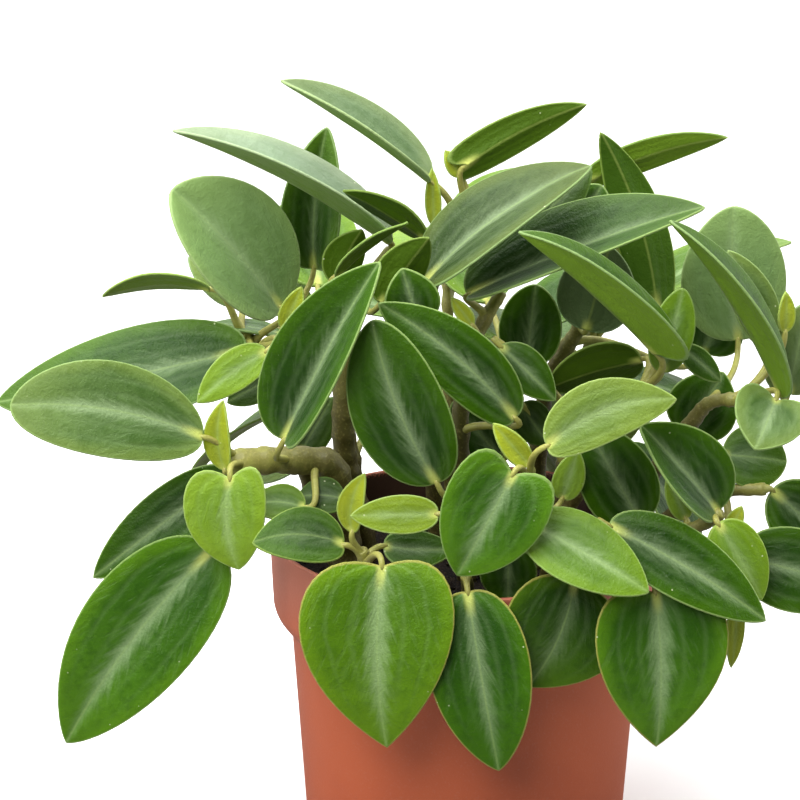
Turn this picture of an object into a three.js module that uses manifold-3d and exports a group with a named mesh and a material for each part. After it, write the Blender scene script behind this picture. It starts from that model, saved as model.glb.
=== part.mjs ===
// A potted peperomia: a nursery pot filled with soil, and the leafy stems that stand in it.
// Millimetres, +Z up, the origin at the middle of the pot's foot, and the front of the plant towards -Y.
import * as THREE from 'three';
import { mergeVertices } from 'three/addons/utils/BufferGeometryUtils.js';
import Module from 'manifold-3d';

const wasm = await Module();
wasm.setup();

// ---- Driving sizes -------------------------------------------------------------------------------
const POT_HEIGHT = 105;
const RIM_RADIUS = 60;
const COLLAR_DEPTH = 22.5;         // the upright band below the rim
const COLLAR_FOOT_RADIUS = 59;
const SHOULDER_DEPTH = 30.5;       // where the sloping shoulder under the collar meets the body
const BODY_RADIUS = 53.5;
const FOOT_RADIUS = 48.5;
const WALL = 1.8;
const LIP = 1;                    // the rounding of the rim
const FOOT_EDGE = 1.2;            // and of the foot
const FLOOR = 2.2;
const POT_SIDES = 40;
const DRAIN_HOLES = 6;
const DRAIN_RADIUS = 4;
const DRAIN_CIRCLE = 27;

const GAP = 0.3;                  // left between pieces that touch
const SOIL_LEVEL = 94;
const SOIL_BUMP = 0.7;
const SOIL_RINGS = 4;
const ROOT_DEPTH = 12;            // how far a stem stands in the soil
const ROOT_COLLAR = 2;            // how far above the soil it stays upright

const MIDRIB_THICK = 1.3;
const MARGIN_THICK = 0.8;
const CURL = THREE.MathUtils.degToRad(-14);   // how the halves of a blade bend down to the margin
const STALK_RADIUS = 1.3;
const STALK_END_RADIUS = 0.85;
const STEM_SIDES = 7;
const STEM_PARTS = 8;

// The front view in which the visible leaves are placed: 800 by 800 pixels, from 1 m away and a little
// above. A seen point is [pixels across, pixels down, mm in front of the pot's axis].
const VIEW_PIXELS = 800;
const VIEW_WIDTH = 241.2;
const VIEW_DISTANCE = 1000;
const VIEW_PITCH = THREE.MathUtils.degToRad(18);
const VIEW_CENTRE = new THREE.Vector3(-20.2, 0, 146.2);

// Half the width of a blade follows s^rise * (1 - s)^fall from its base (s = 0) to its tip (s = 1), and
// lobe draws its lower corners back beside the stalk.
const OUTLINES = {
    heart: { rise: 0.5, fall: 0.82, lobe: 0.85 },
    tapered: { rise: 0.5, fall: 0.96, lobe: 0.4 },
    ovate: { rise: 0.56, fall: 0.78, lobe: 0.18 },
    oval: { rise: 0.52, fall: 0.6, lobe: 0.08 },
    round: { rise: 0.57, fall: 0.55, lobe: 0.08 },
    slim: { rise: 0.62, fall: 0.85, lobe: 0.05 },
};

// path: points of a stem from the soil up, as seen; thick: its diameter at the soil and at its end.
// leaves: name, base, tip, width in mm, the way the upper side looks [right, front, up], outline, how far
// each half is folded up in degrees, and its arch and its bend to the right as shares of the length.
const STEMS = [
    { name: 'stem_left_arm', thick: [10, 7],
      path: [[345, 580, 14], [344, 530, 14], [333, 470, 16], [285, 460, 20], [230, 464, 26]],
      leaves: [
        ['left low long', [203, 437, 31], [10, 405, 42], 29, [0, 0.8, 0.5], 'round', 12, 0.04, 0.05],
        ['left young', [225, 471, 30], [223, 400, 30], 9, [-0.3, 1, 0], 'slim', 30, 0.02, -0.08],
        ['left dark', [232, 474, 21], [93, 578, 24], 19, [0.15, 0.8, 0.6], 'ovate', 16, 0.05, 0],
        ['left light heart', [230, 478, 40], [239, 570, 44], 24.5, [-0.05, 1, 0.25], 'heart', 12, 0.05, 0.08],
        ['left lowest', [213, 548, 34], [66, 743, 43], 36.1, [0.1, 0.9, 0.3], 'ovate', 14, 0.05, 0.04],
        ['big turned', [284, 440, 42], [380, 262, 46], 31, [-0.5, 0.78, 0.52], 'ovate', 40, 0.03, 0],
        ['left olive', [305, 508, 35], [248, 505, 33], 13, [0, 0.6, 0.8], 'ovate', 12, 0.05, 0.05],
        ['left shade', [344, 500, 28], [296, 498, 28], 13, [0, 0.6, 0.8], 'ovate', 12, 0.05, 0.05],
        ['left grey', [302, 461, 7], [256, 483, 4], 9, [0, 0.5, 1], 'slim', 12, 0.05, 0],
      ] },
    { name: 'stem_left_rising', thick: [8.4, 3.8],
      path: [[367, 566, -2], [355, 500, 2], [345, 455, 4], [343, 400, 5], [348, 340, 5], [365, 290, 4],
             [392, 250, 3]],
      leaves: [
        ['crown left low', [389, 242, 6], [173, 130, 8], 30, [0.3, 0.02, 1], 'ovate', 38, 0.037, 0],
        ['crown inner a', [428, 240, 12], [343, 190, 11], 14, [0.2, -0.75, 0.8], 'slim', 16, 0.04, 0],
        ['crown inner b', [381, 303, 31], [429, 237, 31], 15, [-0.3, -1, 0], 'ovate', 20, 0.04, 0],
        ['crown inner c', [338, 285, 8], [362, 229, 8], 13, [-0.3, -1, 0], 'ovate', 20, 0.04, 0.06],
        ['crown inner d', [335, 277, 18], [408, 222, 18], 12, [-0.4, -0.3, 1], 'slim', 30, 0.04, 0],
      ] },
    { name: 'stem_left_back', thick: [5.5, 3.4],
      path: [[328, 546, -20], [305, 470, -18], [276, 400, -13], [258, 350, -9], [238, 330, -8]],
      leaves: [
        ['left far long', [246, 350, 0], [-4, 403, 4], 31.6, [0.1, 0.7, 0.75], 'ovate', 14, 0.04, -0.03],
        ['left top oval', [281, 308, 4], [172, 189, 14], 37.8, [0.47, 0.78, 0.41], 'round', 33, 0.05, 0],
        ['left small far', [210, 289, -6], [102, 296, -12], 15.8, [-0.2, -0.7, 1], 'ovate', 12, 0.09, 0],
        ['left small grey', [238, 303, -19], [188, 257, -23], 10, [-0.3, 0.5, 0.7], 'ovate', 12, 0.05, 0],
        ['left bud', [283, 330, 13], [302, 286, 13], 7, [0, 1, 0.3], 'slim', 30, 0.02, 0],
        ['left light', [267, 351, 20], [197, 403, 26], 12, [0.3, 0.8, 0.5], 'ovate', 10, 0.05, 0.04],
        ['left shaded', [276, 377, 12], [227, 403, 12], 10, [0, 0.8, 0.5], 'ovate', 12, 0.05, 0],
        ['left edge on', [284, 336, -10], [205, 325, -14], 15, [0, -0.05, 1], 'slim', 14, 0.04, 0],
        ['left inner', [301, 452, -8], [333, 397, -9], 12.2, [0, 0.9, 0.4], 'ovate', 12, 0.05, 0],
        ['back tall', [314, 268, -25], [327, 127, -25], 23, [-0.15, 1, 0.2], 'ovate', 45, 0.03, -0.03],
      ] },
    { name: 'stem_front_left', thick: [4.6, 3],
      path: [[380, 604, 38], [368, 580, 44], [362, 550, 48]],
      leaves: [
        ['front left mid', [344, 545, 50], [252, 543, 52], 17.5, [0, 0.75, 0.65], 'ovate', 12, 0.05, 0.09],
        ['front left young', [352, 533, 50], [365, 473, 50], 8.5, [-0.2, 1, 0.1], 'slim', 30, 0.02, -0.1],
        ['front left dark', [384, 546, 45], [456, 549, 45], 11.8, [0, 0.8, 0.6], 'ovate', 12, 0.05, 0.05],
        ['front heart', [382, 566, 63], [387, 748, 72], 45, [0, 1, 0.2], 'tapered', 14, 0.05, 0.04],
      ] },
    { name: 'stem_front_mid', thick: [5.4, 3.4],
      path: [[527, 600, 34], [528, 560, 42], [528, 515, 48], [530, 474, 50]],
      leaves: [
        ['mid heart', [513, 474, 62], [457, 576, 64], 30.5, [0, 1, 0.2], 'heart', 12, 0.05, 0],
        ['mid young', [530, 466, 54], [493, 423, 54], 8, [0, 1, 0.3], 'slim', 35, 0.02, 0],
        ['mid light', [547, 446, 60], [677, 399, 60], 18.5, [0, 0.9, 0.4], 'ovate', 12, 0.04, -0.1],
        ['mid low light', [529, 524, 57], [649, 593, 72], 22, [0.1, 0.8, 0.6], 'ovate', 12, 0.05, 0],
        ['mid lime', [438, 514, 55], [350, 516, 55], 11.5, [0, 0.9, 0.4], 'ovate', 12, 0.04, 0],
        ['mid olive', [562, 499, 40], [578, 450, 40], 9.5, [0, 1, 0.2], 'ovate', 12, 0.04, 0],
        ['low right', [574, 580, 57.5], [527, 687, 62.5], 37, [0.2, 1, 0.15], 'ovate', 16, 0.05, -0.06],
        ['low dark', [508, 548, 46], [508, 606, 50], 17, [0, 1, 0.4], 'ovate', 12, 0.05, 0],
      ] },
    { name: 'stem_front_low', thick: [4.2, 3],
      path: [[468, 600, 35], [468, 588, 44], [466, 576, 52]],
      leaves: [
        ['low left', [468, 592, 63], [499, 771, 72], 30, [-0.1, 1, 0.15], 'ovate', 14, 0.05, 0],
      ] },
    { name: 'stem_centre', thick: [6, 3.4],
      path: [[467, 580, 14], [464, 500, 18], [460, 430, 20], [466, 370, 18], [482, 325, 12], [502, 292, 8]],
      leaves: [
        ['centre dark', [437, 483, 50], [372, 320, 48], 28, [-0.1, 0.95, 0.2], 'oval', 14, 0.04, -0.04],
        ['centre right dark', [515, 418, 38], [378, 303, 38], 20, [0.1, 0.9, 0.3], 'ovate', 14, 0.04, 0.045],
        ['centre top dark', [418, 322, 33], [402, 268, 33], 17, [0, 0.9, 0.3], 'ovate', 24, 0.04, 0],
        ['centre young', [473, 326, 28], [451, 297, 28], 5, [0, 0.9, 0.3], 'slim', 30, 0.03, 0],
        ['centre shade', [504, 462, 5], [452, 402, 4], 20.3, [0, 0.9, 0.4], 'ovate', 12, 0.03, 0],
        ['long glossy', [468, 295, 14], [705, 207, 17], 31, [-0.1, 0.4, 0.9], 'ovate', 33, 0.03, 0],
      ] },
    { name: 'stem_crown', thick: [6, 3.4],
      path: [[440, 560, -6], [433, 450, -4], [430, 350, -4], [432, 270, -3], [442, 238, -2], [472, 207, -3]],
      leaves: [
        ['crown left high', [429, 180, 2], [281, 80, 2], 24.3, [0.25, 0.15, 1], 'ovate', 36, 0.02, 0],
        ['crown bud', [434, 226, 2], [432, 168, 2], 5.2, [0, 1, 0], 'slim', 30, 0.02, 0],
        ['crown right', [424, 284, 25], [592, 166, 17], 30, [-0.1, 0.35, 0.95], 'ovate', 22, 0.06, -0.02],
        ['crown right high', [466, 165, 0], [587, 104, -6], 12.3, [0.2, -1, 0.1], 'heart', 12, 0.04, 0.035],
        ['crown right back', [500, 258, -1], [592, 170, -5], 17, [0.3, 0.6, 0.7], 'ovate', 12, 0.04, 0],
        ['crown tiny', [461, 177, -2], [445, 150, -2], 5.5, [0.3, 1, 0], 'slim', 20, 0.02, 0],
      ] },
    { name: 'stem_back_right', thick: [5.6, 3.4],
      path: [[533, 546, -20], [538, 460, -18], [547, 385, -15], [565, 350, -13], [583, 322, -12],
             [612, 270, -14], [622, 250, -15]],
      leaves: [
        ['back round', [527, 366, -8], [536, 284, -10], 19.5, [-0.2, 1, 0.2], 'oval', 12, 0.04, 0],
        ['back grey', [586, 330, -5], [610, 245, -5], 24, [0.2, -1, 0.2], 'ovate', 12, 0.05, 0],
        ['back upright', [657, 318, -6], [600, 132, -13], 17, [-0.3, -1, 0], 'ovate', 14, 0.04, -0.07],
        ['back high', [582, 184, -18], [728, 137, -22], 10.8, [0.2, -1, 0.3], 'ovate', 12, 0.04, 0.037],
        ['back black', [585, 215, -12], [602, 185, -12], 11, [0, 0.8, 0.5], 'oval', 12, 0.05, 0],
        ['back shaded', [703, 352, -33], [725, 300, -33], 20, [0, 1, 0.2], 'ovate', 12, 0.05, 0],
      ] },
    { name: 'stem_right_inner', thick: [5.4, 3.2],
      path: [[545, 580, 14], [572, 500, 18], [620, 425, 22], [646, 385, 26]],
      leaves: [
        ['top folded', [655, 352, 42], [519, 231, 46], 31, [0.5, -0.05, 0.8], 'heart', 46, 0.02, 0],
        ['light round', [662, 372, 28], [683, 288, 28], 13, [0, 1, 0.2], 'oval', 12, 0.05, 0],
        ['inner olive', [641, 359, 10], [545, 388, 8], 20, [0, -0.9, 0.5], 'ovate', 12, 0.04, 0],
        ['inner dark', [682, 348, 18], [721, 382, 18], 8, [0, 0.8, 0.5], 'ovate', 12, 0.05, 0],
        ['inner mid', [520, 405, 20], [548, 445, 20], 12, [0, 0.8, 0.5], 'ovate', 12, 0.05, 0],
        ['centre strip', [500, 346, 24], [556, 401, 27], 13, [0, 0.8, 0.5], 'slim', 12, 0.04, 0],
      ] },
    { name: 'stem_front_right', thick: [5.4, 3.4],
      path: [[588, 588, 25], [606, 568, 28], [640, 544, 34], [690, 530, 42], [722, 512, 44]],
      leaves: [
        ['right low', [655, 592, 62], [656, 747, 68], 40, [0.2, 1, 0.1], 'tapered', 14, 0.05, -0.02],
        ['right glossy', [609, 526, 56], [766, 621, 62], 22, [0.1, 0.8, 0.6], 'ovate', 14, 0.05, -0.01],
        ['right dark', [717, 512, 44], [640, 425, 46], 27, [0.44, 0.82, 0.6], 'ovate', 40, 0.03, 0],
        ['right darkest', [640, 522, 34], [582, 420, 34], 23, [0, 0.9, 0.4], 'ovate', 14, 0.05, 0],
        ['right light back', [718, 524, 51], [762, 600, 52], 17, [0.2, 0.9, 0.4], 'ovate', 12, 0.05, 0],
        ['right olive', [686, 519, 40], [667, 476, 40], 7, [0, 0.9, 0.4], 'ovate', 12, 0.05, 0],
        ['right strip', [736, 600, 44], [731, 668, 44], 6, [0.3, 0.9, 0.1], 'ovate', 12, 0.05, 0],
        ['right tiny', [730, 530, 40], [742, 506, 40], 5, [0, 0.9, 0.4], 'ovate', 12, 0.05, 0],
      ] },
    { name: 'stem_right_low', thick: [5, 3.4],
      path: [[615, 572, 6], [660, 525, 14], [705, 494, 22], [765, 489, 28]],
      leaves: [
        ['right far low', [742, 556, 39], [872, 590, 40], 25, [0, 0.95, 0.3], 'ovate', 12, 0.05, 0],
        ['right far', [772, 490, 26], [866, 575, 24], 24, [0, 0.9, 0.4], 'oval', 12, 0.05, 0],
        ['right inner dark', [722, 455, 20], [787, 462, 20], 20, [0, 0.8, 0.6], 'oval', 12, 0.04, 0],
      ] },
    { name: 'stem_right_rising', thick: [5.6, 3.4],
      path: [[580, 566, 0], [640, 490, 5], [690, 425, 10], [712, 402, 13], [750, 400, 18]],
      leaves: [
        ['right folded', [782, 396, 32], [670, 220, 33], 27, [0.5, 0.05, 0.9], 'ovate', 39, 0.04, 0],
        ['right light heart', [776, 400, 38], [755, 450, 53], 22, [0, 1, 0.6], 'heart', 12, 0.05, 0],
        ['right upper mid', [768, 342, 10], [728, 250, 8], 14, [0.2, 1, 0.3], 'ovate', 12, 0.04, 0.02],
        ['right edge', [788, 394, 6], [804, 303, 4], 20, [0.2, 1, 0.3], 'ovate', 12, 0.05, 0],
        ['right yellow', [785, 333, 14], [786, 291, 14], 6, [0.3, 1, 0], 'slim', 30, 0.03, 0],
        ['right big oval', [738, 340, -25], [733, 206, -25], 33, [0.1, 1, 0.3], 'oval', 12, 0.04, -0.03],
        ['right deep', [686, 434, -2], [724, 372, -6], 22, [0, 1, 0.3], 'ovate', 12, 0.04, 0],
      ] },
];

// The stems at the back, which no front view shows. root: where each stands, right and back of the axis;
// rise and reach: how far it climbs above the soil and leans out; bare: the share of it below its leaves;
// droop: the pitch of its lowest leaf in degrees. Its leaves are placed by a seeded rule.
const BACK_STEMS = [
    { name: 'stem_far_left', root: [-33, 38], rise: 62, reach: 18, bare: 0.3, droop: -58, count: 6, seed: 5 },
    { name: 'stem_far_middle', root: [-4, 46], rise: 72, reach: 14, bare: 0.3, droop: -58, count: 6, seed: 11 },
    { name: 'stem_far_right', root: [30, 38], rise: 60, reach: 18, bare: 0.3, droop: -58, count: 6, seed: 23 },
    { name: 'stem_far_centre', root: [10, 22], rise: 64, reach: 6, bare: 0.66, droop: -15, count: 4, seed: 129 },
];
const BACK_SPREAD = THREE.MathUtils.degToRad(75);     // either way from straight out
const BACK_LIFT = 22;             // the pitch of the highest leaf in degrees
const BACK_THICK = [5.4, 3];
const BACK_STALK = 20;
const BACK_LENGTH = 50;
const BACK_WIDTH = 31;
const GOLDEN = 0.618;

// ---- Seen points and curves ----------------------------------------------------------------------
function seen([across, down, front]) {
    const step = VIEW_WIDTH / VIEW_PIXELS / VIEW_DISTANCE;
    const right = (across - VIEW_PIXELS / 2) * step;
    const up = (VIEW_PIXELS / 2 - down) * step;
    const sin = Math.sin(VIEW_PITCH);
    const cos = Math.cos(VIEW_PITCH);
    const eye = new THREE.Vector3(0, -cos, sin).multiplyScalar(VIEW_DISTANCE).add(VIEW_CENTRE);
    const ray = new THREE.Vector3(right, cos + up * sin, up * cos - sin);
    return eye.addScaledVector(ray, (-front - eye.y) / ray.y);
}

function nearestOn(curve, point, backAway) {
    const steps = 60;
    let best = 0;
    let shortest = Infinity;
    for (let i = 0; i <= steps; i += 1) {
        const away = curve.getPoint(i / steps).distanceTo(point);
        if (away < shortest) {
            shortest = away;
            best = i / steps;
        }
    }
    return Math.max(0.12, best - backAway * shortest / curve.getLength());
}

// ---- Solids --------------------------------------------------------------------------------------
function solidFrom(points, faces) {
    return new wasm.Manifold(new wasm.Mesh({
        numProp: 3,
        vertProperties: new Float32Array(points.flatMap((p) => [p.x, p.y, p.z])),
        triVerts: new Uint32Array(faces.flat()),
    }));
}

function solidFromGeometry(geometry) {
    const bare = geometry.clone();
    bare.deleteAttribute('normal');
    bare.deleteAttribute('uv');
    const merged = mergeVertices(bare, 1e-4);
    const corners = Array.from(merged.index.array);
    const faces = [];
    for (let i = 0; i < corners.length; i += 3) {
        const [a, b, c] = corners.slice(i, i + 3);
        if (a !== b && b !== c && c !== a) {
            faces.push([a, b, c]);
        }
    }
    return new wasm.Manifold(new wasm.Mesh({
        numProp: 3,
        vertProperties: new Float32Array(merged.attributes.position.array),
        triVerts: new Uint32Array(faces.flat()),
    }));
}

// A round tube through the points of a curve, with a radius that changes evenly from one end to the other
function tube(points, radii, sides) {
    const rings = points.map((point, i) => {
        const ahead = points[Math.min(i + 1, points.length - 1)];
        const behind = points[Math.max(i - 1, 0)];
        const along = ahead.clone().sub(behind).normalize();
        const side = new THREE.Vector3(0, 1, 0.2).cross(along).normalize();
        const other = along.clone().cross(side);
        const radius = THREE.MathUtils.lerp(radii[0], radii[1], i / (points.length - 1));
        return Array.from({ length: sides }, (_, j) => {
            const turn = 2 * Math.PI * j / sides;
            return point.clone().addScaledVector(side, radius * Math.cos(turn))
                .addScaledVector(other, radius * Math.sin(turn));
        });
    });
    const corners = rings.flat();
    const faces = [];
    for (let i = 0; i + 1 < rings.length; i += 1) {
        for (let j = 0; j < sides; j += 1) {
            const a = i * sides + j;
            const b = i * sides + (j + 1) % sides;
            faces.push([a, b, b + sides], [a, b + sides, a + sides]);
        }
    }
    const last = (rings.length - 1) * sides;
    for (let j = 1; j + 1 < sides; j += 1) {
        faces.push([0, j + 1, j], [last, last + j, last + j + 1]);
    }
    return solidFrom(corners, faces);
}

// ---- Leaves --------------------------------------------------------------------------------------
// The rings of a blade from its base to its tip, six corners each: the midrib and both margins, above and
// below. Each half is folded up from the midrib and curls down again at the margin.
function bladeRings({ base, tip, wide, looks, outline, fold, arch, sway }) {
    const { rise, fall, lobe } = OUTLINES[outline];
    const along = tip.clone().sub(base);
    const length = along.length();
    along.normalize();
    const up = looks.clone().addScaledVector(along, -looks.dot(along)).normalize();
    const side = along.clone().cross(up);
    const widest = rise / (rise + fall);
    const fullest = widest ** rise * (1 - widest) ** fall;
    const halfFold = THREE.MathUtils.degToRad(fold) + CURL / 2;
    const rows = wide * length > 500 ? 6 : wide * length > 250 ? 5 : 4;

    const rings = [];
    for (let i = 1; i < rows; i += 1) {
        const s = (1 - Math.cos(Math.PI * i / rows)) / 2;
        const half = wide / 2 * s ** rise * (1 - s) ** fall / fullest;
        const drawnBack = lobe * (1 - s) ** 3 * Math.sqrt(s) * length;
        const rib = base.clone().addScaledVector(along, length * s)
            .addScaledVector(up, arch * length * 4 * s * (1 - s))
            .addScaledVector(side, sway * length * 4 * s * (1 - s));
        const corner = (turn, face) => {
            const normal = up.clone().multiplyScalar(Math.cos(turn * halfFold))
                .addScaledVector(side, -Math.sin(turn * halfFold));
            const thick = turn === 0 ? MIDRIB_THICK : MARGIN_THICK;
            return rib.clone().addScaledVector(side, turn * half * Math.cos(halfFold))
                .addScaledVector(up, Math.abs(turn) * half * Math.sin(halfFold))
                .addScaledVector(along, -Math.abs(turn) * drawnBack)
                .addScaledVector(normal, face * thick / 2);
        };
        rings.push([corner(-1, 1), corner(0, 1), corner(1, 1), corner(1, -1), corner(0, -1), corner(-1, -1)]);
    }
    const end = [1, -1].map((face) => tip.clone().addScaledVector(up, face * MARGIN_THICK / 2));
    return { rings, end, along, side };
}

// The rings of a leaf stalk that leaves the axis of its stem and swings round to the base of its blade
function stalkRings(curve, base, along, side) {
    const at = nearestOn(curve, base, 0.45);
    const root = curve.getPoint(at);
    const reach = base.distanceTo(root) / 3;
    const leaving = curve.getTangent(at).add(base.clone().sub(root).normalize()).normalize();
    const bend = new THREE.CubicBezierCurve3(root, root.clone().addScaledVector(leaving, reach),
        base.clone().addScaledVector(along, -reach), base);
    const parts = reach > 9 ? 3 : 2;
    const rings = [];
    let across = side.clone();
    for (let i = parts; i >= 0; i -= 1) {
        const centre = bend.getPoint(i / parts);
        const ahead = bend.getTangent(i / parts);
        across = across.clone().addScaledVector(ahead, -across.dot(ahead)).normalize();
        const above = across.clone().cross(ahead);
        const radius = THREE.MathUtils.lerp(STALK_RADIUS, STALK_END_RADIUS, i / parts);
        rings.unshift([150, 90, 30, -30, -90, -150].map((degrees) => {
            const turn = THREE.MathUtils.degToRad(degrees);
            return centre.clone().addScaledVector(across, radius * Math.cos(turn))
                .addScaledVector(above, radius * Math.sin(turn));
        }));
    }
    return rings;
}

// A stalk and its blade as one skin; the upper and the lower face are split into the same triangles
function leafSolid(curve, leaf) {
    const { rings, end, along, side } = bladeRings(leaf);
    const all = [...stalkRings(curve, leaf.base, along, side), ...rings];
    const faces = [[0, 2, 1], [0, 3, 2], [0, 4, 3], [0, 5, 4]];
    for (let i = 0; i + 1 < all.length; i += 1) {
        for (let j = 0; j < 6; j += 1) {
            const a = 6 * i + j;
            const b = 6 * i + (j + 1) % 6;
            if (j === 1 || j === 4) {
                faces.push([a, b, b + 6], [a, b + 6, a + 6]);
            } else {
                faces.push([a, b, a + 6], [b, b + 6, a + 6]);
            }
        }
    }
    const last = 6 * (all.length - 1);
    const over = last + 6;
    const under = last + 7;
    faces.push([last, last + 1, over], [last + 1, last + 2, over], [last + 2, last + 3, over]);
    faces.push([last + 3, under, over], [last + 3, last + 4, under], [last + 4, last + 5, under]);
    faces.push([last + 5, last, under], [last, over, under]);
    return solidFrom([...all.flat(), ...end], faces);
}

function leafFrom([name, base, tip, wide, looks, outline, fold, arch, sway]) {
    const [right, front, up] = looks;
    return { name, base: seen(base), tip: seen(tip), wide, looks: new THREE.Vector3(right, -front, up),
        outline, fold, arch, sway };
}

function stemCurve(path) {
    const points = path.map(seen);
    return new THREE.CatmullRomCurve3(points, false, 'catmullrom', 0.5);
}

// ---- Stems and leaves by rule --------------------------------------------------------------------
function drawsFrom(seed) {
    let state = seed;
    return () => {
        state = (1664525 * state + 1013904223) % 4294967296;
        return state / 4294967296;
    };
}

function outward(azimuth, pitch) {
    return new THREE.Vector3(Math.cos(azimuth) * Math.cos(pitch), Math.sin(azimuth) * Math.cos(pitch),
        Math.sin(pitch));
}

// A stem at the back: it climbs and leans out, and its leaves turn about it, drooping low down and lifted
// at its end
function backStem({ name, root, rise, reach, bare, droop, count, seed }) {
    const draw = drawsFrom(seed);
    const out = Math.atan2(root[1], root[0]);
    const foot = new THREE.Vector3(root[0], root[1], SOIL_LEVEL);
    const path = [0, 0.3, 0.65, 1].map((share) => foot.clone()
        .add(new THREE.Vector3(Math.cos(out), Math.sin(out), 0).multiplyScalar(reach * share ** 1.5))
        .add(new THREE.Vector3(0, 0, rise * share)));
    const curve = new THREE.CatmullRomCurve3(path, false, 'catmullrom', 0.5);
    const leaves = Array.from({ length: count }, (_, i) => {
        const share = i / (count - 1);
        const turn = BACK_SPREAD * (2 * ((i * GOLDEN + draw() * 0.1) % 1) - 1) * (1 - 0.3 * share);
        const azimuth = out + turn;
        const pitch = THREE.MathUtils.degToRad(THREE.MathUtils.lerp(droop, BACK_LIFT, share))
            + 0.2 * (draw() - 0.5);
        const size = 0.85 + 0.3 * draw();
        const base = curve.getPoint(bare + (1 - bare) * share)
            .addScaledVector(outward(azimuth, 0.45), BACK_STALK * (1.1 - 0.3 * share));
        const tip = base.clone().addScaledVector(outward(azimuth, pitch), BACK_LENGTH * size);
        const looks = outward(azimuth, pitch + Math.PI / 2);
        return { name: `${name} ${i}`, base, tip, wide: BACK_WIDTH * size, looks, outline: 'ovate',
            fold: 14, arch: 0.08, sway: 0 };
    });
    return { name, thick: BACK_THICK, curve, leaves };
}

function frontStem({ name, thick, path, leaves }) {
    return { name, thick, curve: stemCurve(path), leaves: leaves.map(leafFrom) };
}

// A whole leafy stem as one solid: the stem down into its hole, its leaf stalks and its blades
function leafyStem({ thick, curve, leaves }) {
    const points = curve.getPoints(STEM_PARTS);
    const foot = points[0].clone();
    foot.z = SOIL_LEVEL - ROOT_DEPTH;
    const collar = foot.clone();
    collar.z = SOIL_LEVEL + ROOT_COLLAR;
    const stem = tube([foot, collar, ...points.filter((p) => p.z > collar.z + 2)],
        [thick[0] / 2, thick[1] / 2], STEM_SIDES);
    return leaves.reduce((whole, leaf) => whole.add(leafSolid(curve, leaf)), stem);
}

// ---- The pot and its soil ------------------------------------------------------------------------
// A profile of [radius, height] corners turned about the pot's axis
function turned(profile) {
    const lathe = new THREE.LatheGeometry(profile.map(([r, z]) => new THREE.Vector2(r, z)), POT_SIDES);
    return solidFromGeometry(lathe.rotateX(Math.PI / 2));
}

function upright(radius, sides, from, to, x, y) {
    const post = new THREE.CylinderGeometry(radius, radius, to - from, sides);
    return solidFromGeometry(post.rotateX(Math.PI / 2).translate(x, y, (from + to) / 2));
}

// The outer side of the pot from its foot to its rim, moved in by a wall or a gap
function potSide(inset) {
    const shoulder = POT_HEIGHT - SHOULDER_DEPTH;
    const collar = POT_HEIGHT - COLLAR_DEPTH;
    const slope = COLLAR_FOOT_RADIUS - BODY_RADIUS;
    return [
        [BODY_RADIUS, shoulder],
        [BODY_RADIUS + slope * 0.45, shoulder + (SHOULDER_DEPTH - COLLAR_DEPTH) * 0.35],
        [BODY_RADIUS + slope * 0.85, shoulder + (SHOULDER_DEPTH - COLLAR_DEPTH) * 0.7],
        [COLLAR_FOOT_RADIUS, collar],
    ].map(([r, z]) => [r - inset, z]);
}

function pot() {
    const inner = FOOT_RADIUS - WALL + FLOOR * (BODY_RADIUS - FOOT_RADIUS) / (POT_HEIGHT - SHOULDER_DEPTH);
    const whole = turned([
        [0, 0], [FOOT_RADIUS - FOOT_EDGE, 0], [FOOT_RADIUS, FOOT_EDGE], ...potSide(0),
        [RIM_RADIUS, POT_HEIGHT - LIP], [RIM_RADIUS - LIP * 0.3, POT_HEIGHT - LIP * 0.3],
        [RIM_RADIUS - LIP, POT_HEIGHT], [RIM_RADIUS - WALL + LIP * 0.2, POT_HEIGHT],
        [RIM_RADIUS - WALL, POT_HEIGHT - LIP],
        ...potSide(WALL).reverse(), [inner, FLOOR], [0, FLOOR],
    ]);
    const holes = Array.from({ length: DRAIN_HOLES }, (_, i) => {
        const turn = 2 * Math.PI * (i + 0.5) / DRAIN_HOLES;
        return upright(DRAIN_RADIUS, 12, -1, FLOOR + 1, DRAIN_CIRCLE * Math.cos(turn),
            DRAIN_CIRCLE * Math.sin(turn));
    });
    return holes.reduce((rest, hole) => rest.subtract(hole), whole);
}

// The soil fills the pot up to a slightly uneven top, with a hole for each stem
function soil(stems) {
    const inset = WALL + GAP;
    const bottom = FLOOR + GAP;
    const low = FOOT_RADIUS - inset + bottom * (BODY_RADIUS - FOOT_RADIUS) / (POT_HEIGHT - SHOULDER_DEPTH);
    const top = COLLAR_FOOT_RADIUS - inset;
    const rings = Array.from({ length: SOIL_RINGS }, (_, i) => [top * (1 - i / SOIL_RINGS), SOIL_LEVEL]);
    const profile = [[0, bottom], [low, bottom], ...potSide(inset), ...rings, [0, SOIL_LEVEL]];
    const lathe = new THREE.LatheGeometry(profile.map(([r, z]) => new THREE.Vector2(r, z)), POT_SIDES);
    lathe.rotateX(Math.PI / 2);
    const spots = lathe.attributes.position;
    for (let i = 0; i < spots.count; i += 1) {
        const [x, y, z] = [spots.getX(i), spots.getY(i), spots.getZ(i)];
        if (z > SOIL_LEVEL - 0.01) {
            spots.setZ(i, z + SOIL_BUMP * Math.sin(x * 0.31 + 1) * Math.cos(y * 0.27 + x * 0.11));
        }
    }
    return stems.reduce((rest, { thick, curve }) => {
        const { x, y } = curve.getPoint(0);
        const radius = (thick[0] / 2 + GAP) / Math.cos(Math.PI / STEM_SIDES);
        return rest.subtract(upright(radius, STEM_SIDES, SOIL_LEVEL - ROOT_DEPTH - GAP, SOIL_LEVEL + 3, x, y));
    }, solidFromGeometry(lathe));
}

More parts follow.
